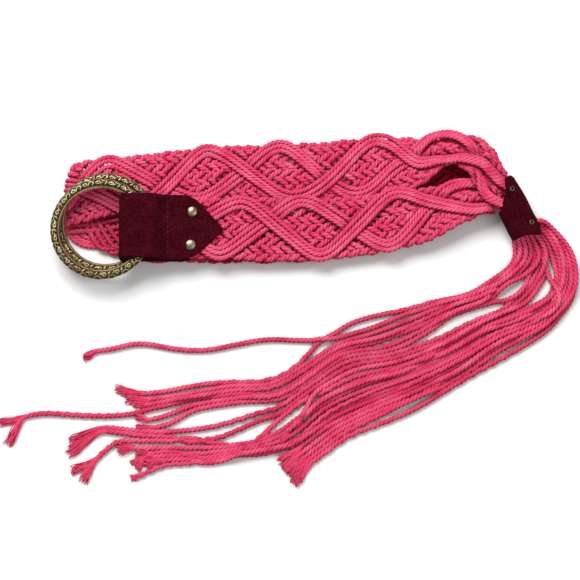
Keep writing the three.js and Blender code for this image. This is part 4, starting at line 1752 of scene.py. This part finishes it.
@dataclass
class SuedeTab:
    """The suede strip folded round both rings, stitched behind them and riveted to the band."""

    width: float = 40.6
    fold: float = -105.7
    stitches: float = -75.6
    shoulder: float = -66.0
    tip: float = -41.0
    back_end: float = -53.0
    pocket: float = 13.3
    band_pocket: float = 6.2
    corner: float = 4.0
    tip_y: float = -1.5
    bulge: float = 0.55
    bulge_spread: float = 2.6
    seam_depth: float = 0.45
    seam_spread: float = 0.7
    edge_share: float = 0.035
    step: float = 0.7
    columns: int = 40
    stitch_pitch: float = 3.1
    stitch_length: float = 2.5
    stitch_size: float = 0.34

    def side_line(self) -> Array:
        """Draws the middle of the leather in side view, from the back end round to the tip.

        Returns:
            x and z in rows.
        """
        half = TAB_PLACE.leather / 2
        top = TAB_PLACE.leather + self.pocket + half
        low = TAB_PLACE.leather + self.band_pocket + half
        x0 = self.fold + half
        bend = self.corner + half
        turn = np.linspace(-math.pi / 2, -math.pi, 9)[:, None]
        lower = [x0 + bend, half + bend] + bend * np.hstack([np.cos(turn), np.sin(turn)])
        turn = np.linspace(math.pi, math.pi / 2, 9)[:, None]
        upper = [x0 + bend, top - bend] + bend * np.hstack([np.cos(turn), np.sin(turn)])
        slope = ((-10.5, top), (-8, top - 0.9), (-2.5, low + 1.1), (0, low), (6, low))
        slope = [(self.stitches + x, z) for x, z in slope]
        return np.vstack([[(self.back_end, half)], lower, upper, slope, [(self.tip, low)]])

    def half_width(self, x: Array) -> tuple[Array, Array]:
        """Gives the near and far edge of the strip at places along the belt."""
        half = self.width / 2
        shoulder = ((-1, 1.0), (3.5, 0.97), (8, 0.86), (12, 0.68))
        tip = ((-9.5, 0.5), (-6, 0.32), (-3, 0.17), (0, 0.015))
        marks = [(self.shoulder + way, share) for way, share in shoulder]
        marks += [(self.tip + way, share) for way, share in tip]
        share = np.interp(x, *np.transpose(marks))
        lean = self.tip_y * (1 - share)
        return lean - half * share, lean + half * share

    def ring_bulge(self, x: Array, y: Array, z: Array) -> Array:
        """Raises the leather a little where a ring's wire runs under it."""
        rise = np.zeros_like(x)
        middle = TAB_PLACE.leather + self.pocket / 2
        for centre, upper in ((UPPER_RING, True), (LOWER_RING, False)):
            off = np.hypot(x - centre[0], y - centre[1]) - RING_RADIUS
            there = z > middle if upper else z < middle
            bulge = self.bulge * np.exp(-((off / self.bulge_spread) ** 2))
            rise = np.maximum(rise, np.where(there, bulge, 0))
        return rise

    def build(self, material: Material) -> Piece:
        """Makes the tab.

        Args:
            material: The suede's material.

        Returns:
            The piece.
        """
        side = self.side_line()
        flat = np.stack([side[:, 0], np.zeros(len(side)), side[:, 1]], axis=1)
        line = resampled(flat, self.step)
        line[1:-1] = (line[:-2] + 2 * line[1:-1] + line[2:]) / 4
        along = unit(np.gradient(line, axis=0))
        outward = np.stack([along[:, 2], np.zeros(len(line)), -along[:, 0]], axis=1)
        near, far = self.half_width(line[:, 0])
        share = np.linspace(-1, 1, self.columns)
        past = (np.abs(share) - (1 - self.edge_share)).clip(0) / self.edge_share
        edge = TAB_PLACE.leather / 2 * np.sqrt(np.clip(1 - past**2, 0.12, 1))
        phases = np.random.default_rng(3).uniform(0, TURN, 2)
        rings = []
        for face in (1, -1):
            y = (near + far)[:, None] / 2 + (far - near)[:, None] / 2 * share
            x, z = (np.repeat(line[:, k : k + 1], self.columns, axis=1) for k in (0, 2))
            ripple = 0.096 * np.sin(0.33 * x + 0.21 * y + phases[0])
            ripple = ripple + 0.072 * np.sin(0.5 * y + phases[1])
            off = face * edge + self.ring_bulge(x, y, z) + ripple
            if face > 0:
                from_seam = (x - self.stitches) / self.seam_spread
                off = off - self.seam_depth * np.exp(-(from_seam**2)) * (z > 5)
            points = np.stack([x, y, z], axis=-1) + outward[:, None] * off[..., None]
            rings.append(points if face > 0 else points[:, ::-1])
        skin = Skin()
        local = np.concatenate(rings, axis=1)
        skin.loft(TAB_PLACE.to_layout(local), groove=np.zeros(1), tint=np.full(1, 0.5))
        piece = skin.piece("tab_suede", material, "suede")
        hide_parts("suede_tab")
        return piece

    def build_stitches(self, material: Material) -> Piece:
        """Makes the row of stitches behind the rings.

        Args:
            material: The thread's material.

        Returns:
            The piece.
        """
        skin = Skin()
        top = 2 * TAB_PLACE.leather + self.band_pocket
        t = np.linspace(0, 1, 9)[:, None]
        height = top - 0.25 + 0.3 * np.sin(math.pi * t)
        size = self.stitch_size * np.sqrt(np.clip(1 - (2 * t - 1) ** 4, 0.05, 1))
        for y in self.stitch_pitch * np.arange(-5, 6):
            x = self.stitches + 0.12 * math.sin(y)
            line = np.hstack([x + 0 * t, y + self.stitch_length * (t - 0.5), height])
            rings = tube(line, size, np.arange(8) * TURN / 8)
            skin.loft(TAB_PLACE.to_layout(rings), groove=np.full(1, 0.2), tint=np.full(1, 0.5))
        return skin.piece("tab_stitches", material, "suede")


@dataclass
class Rivet:
    """A domed rivet: head over the leather, shank through it, flat washer behind."""

    name: str
    node: str
    x: float
    y: float
    head: float = 3.3
    rim: float = 0.55
    dome: float = 1.25
    shank: float = 1.3

    def build(self, tab: SuedeTab, material: Material) -> Piece:
        """Makes the rivet.

        Args:
            tab: The tab that it holds.
            material: Its metal.

        Returns:
            The piece.
        """
        stack = 2 * TAB_PLACE.leather + tab.band_pocket
        turn = np.linspace(0, math.pi / 2, 12)
        height = stack + self.rim + self.dome * np.sin(turn)
        dome = np.stack([self.head * np.cos(turn), height], axis=1)
        dome[-1, 0] = 0.02
        washer = [(0.02, -1.2), (self.head - 0.5, -1.2), (self.head - 0.3, -1.0)]
        shank = [(self.head - 0.3, -0.2), (self.shank, -0.1), (self.shank, stack)]
        head = [(self.head - 0.15, stack + 0.05), (self.head, stack + 0.25)]
        profile = np.vstack([washer, shank, head, dome])
        local = lathe(profile, 40) + np.array([self.x, self.y, 0])
        recess = np.clip((stack + 0.7 - profile[:, 1]) / 0.6, 0, 1)[:, None]
        skin = Skin()
        skin.loft(TAB_PLACE.to_layout(local), recess=np.broadcast_to(recess, local.shape[:2]))
        piece = skin.piece(self.name, material, "nickel")
        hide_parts(self.node)
        return piece


@dataclass
class Studio:
    """The plain pale floor, soft lights and the camera at the photograph's angle, in metres."""

    distance: float = 1.8
    picture_width: float = 0.3596
    sensor: float = 36.0
    floor_half: float = 3.0
    floor_below: float = 0.0002
    floor_greys: tuple[float, float] = (0.86, 0.89)
    air_strength: float = 0.34

    def add_floor(self) -> None:
        """Lays a plain pale floor under the belt."""
        mesh = bpy.data.meshes.new("studio_floor")
        half = self.floor_half
        corners = [(-half, -half, 0), (half, -half, 0), (half, half, 0), (-half, half, 0)]
        mesh.from_pydata(corners, [], [(0, 1, 2, 3)])
        floor = bpy.data.objects.new("studio_floor", mesh)
        floor.location.z = -self.floor_below
        bpy.context.scene.collection.objects.link(floor)
        material = bpy.data.materials.new("studio_paper")
        material.use_nodes = True
        tree = material.node_tree
        grain = tree.nodes.new("ShaderNodeTexNoise")
        grain.inputs["Scale"].default_value = 40
        ramp = tree.nodes.new("ShaderNodeValToRGB")
        for element, grey in zip(ramp.color_ramp.elements, self.floor_greys):
            element.color = (grey, grey, grey, 1)
        shader = tree.nodes["Principled BSDF"]
        shader.inputs["Roughness"].default_value = 0.9
        tree.links.new(grain.outputs["Fac"], ramp.inputs["Fac"])
        tree.links.new(ramp.outputs["Color"], shader.inputs["Base Color"])
        mesh.materials.append(material)

    def add_light(self, name: str, place: Place, size: float, power: float) -> None:
        """Adds a soft square light that faces the belt.

        Args:
            name: The light's name.
            place: Where it stands, in metres.
            size: Length of its sides, in metres.
            power: Its power in watts.
        """
        lamp = bpy.data.lights.new(name, "AREA")
        lamp.size = size
        lamp.energy = power
        obj = bpy.data.objects.new(name, lamp)
        obj.location = place
        obj.rotation_euler = (-Vector(place)).to_track_quat("-Z", "Y").to_euler()
        bpy.context.scene.collection.objects.link(obj)

    def add_lights(self) -> None:
        """Adds the lights and the pale surroundings."""
        self.add_light("key_light", (-0.5, 0.75, 1.5), 1.1, 33)
        self.add_light("fill_light", (0.9, -0.6, 1.3), 1.2, 9)
        world = bpy.data.worlds.new("studio_air")
        world.use_nodes = True
        background = world.node_tree.nodes["Background"]
        background.inputs["Color"].default_value = (1, 1, 1, 1)
        background.inputs["Strength"].default_value = self.air_strength
        bpy.context.scene.world = world

    def add_camera(self) -> None:
        """Adds the camera at the photograph's angle."""
        data = bpy.data.cameras.new("photo_camera")
        data.sensor_width = self.sensor
        data.lens = self.sensor * self.distance / self.picture_width
        data.clip_start, data.clip_end = 0.05, 20
        camera = bpy.data.objects.new("photo_camera", data)
        target = Vector((SHIFT[0] * MILLIMETRE, SHIFT[1] * MILLIMETRE, 0))
        away = Vector((0, -math.cos(PICTURE.elevation), math.sin(PICTURE.elevation)))
        camera.location = target + away * self.distance
        camera.rotation_euler = (-away).to_track_quat("-Z", "Y").to_euler()
        bpy.context.scene.collection.objects.link(camera)
        bpy.context.scene.camera = camera

    def build(self) -> None:
        """Sets up the studio."""
        self.add_floor()
        self.add_lights()
        self.add_camera()
        bpy.context.scene.view_settings.view_transform = "Standard"


def report(pieces: list[Piece]) -> None:
    """Logs each piece with the number of its triangles."""
    for piece in pieces:
        count = sum(len(polygon.vertices) - 2 for polygon in piece.data.polygons)
        log.info("%s: %d triangles", piece.name, count)


def main() -> None:
    """Builds the belt and the studio."""
    logging.basicConfig(level=logging.INFO, format="%(name)s %(message)s")
    effects = Effects()
    cord, fray = PINK_CORD.material(effects), PINK_FRAY.material(effects)
    suede, thread = BURGUNDY_SUEDE.material(effects), BURGUNDY_THREAD.material(effects)
    brass, nickel = ANTIQUE_BRASS.material(effects), RIVET_NICKEL.material(effects)
    dark = DARK_EYELET.material(effects)
    Studio().build()
    report(BraidedBand(BandPath()).build(cord))
    report([
        Ring("ring_lower_brass", "ring_lower", LOWER_RING, 0.1).build(brass),
        Ring("ring_upper_brass", "ring_upper", UPPER_RING, 0.3).build(brass),
    ])
    tab = SuedeTab()
    report([tab.build(suede), tab.build_stitches(thread)])
    report([
        Rivet("rivet_far_dome", "tab_rivet_far", -60.5, 9.6).build(tab, nickel),
        Rivet("rivet_near_dome", "tab_rivet_near", -61.4, -11.2).build(tab, nickel),
    ])
    collar = Collar()
    upper = Eyelet("eyelet_upper_rim", "collar_eyelet_upper", 0.21, math.radians(73))
    lower = Eyelet("eyelet_lower_rim", "collar_eyelet_lower", 0.8, math.radians(69))
    report([collar.build(suede), upper.build(collar, dark), lower.build(collar, dark)])
    report(Fringe(collar).build(cord, fray))


if __name__ == "__main__":
    main()
    bpy.context.view_layer.update()
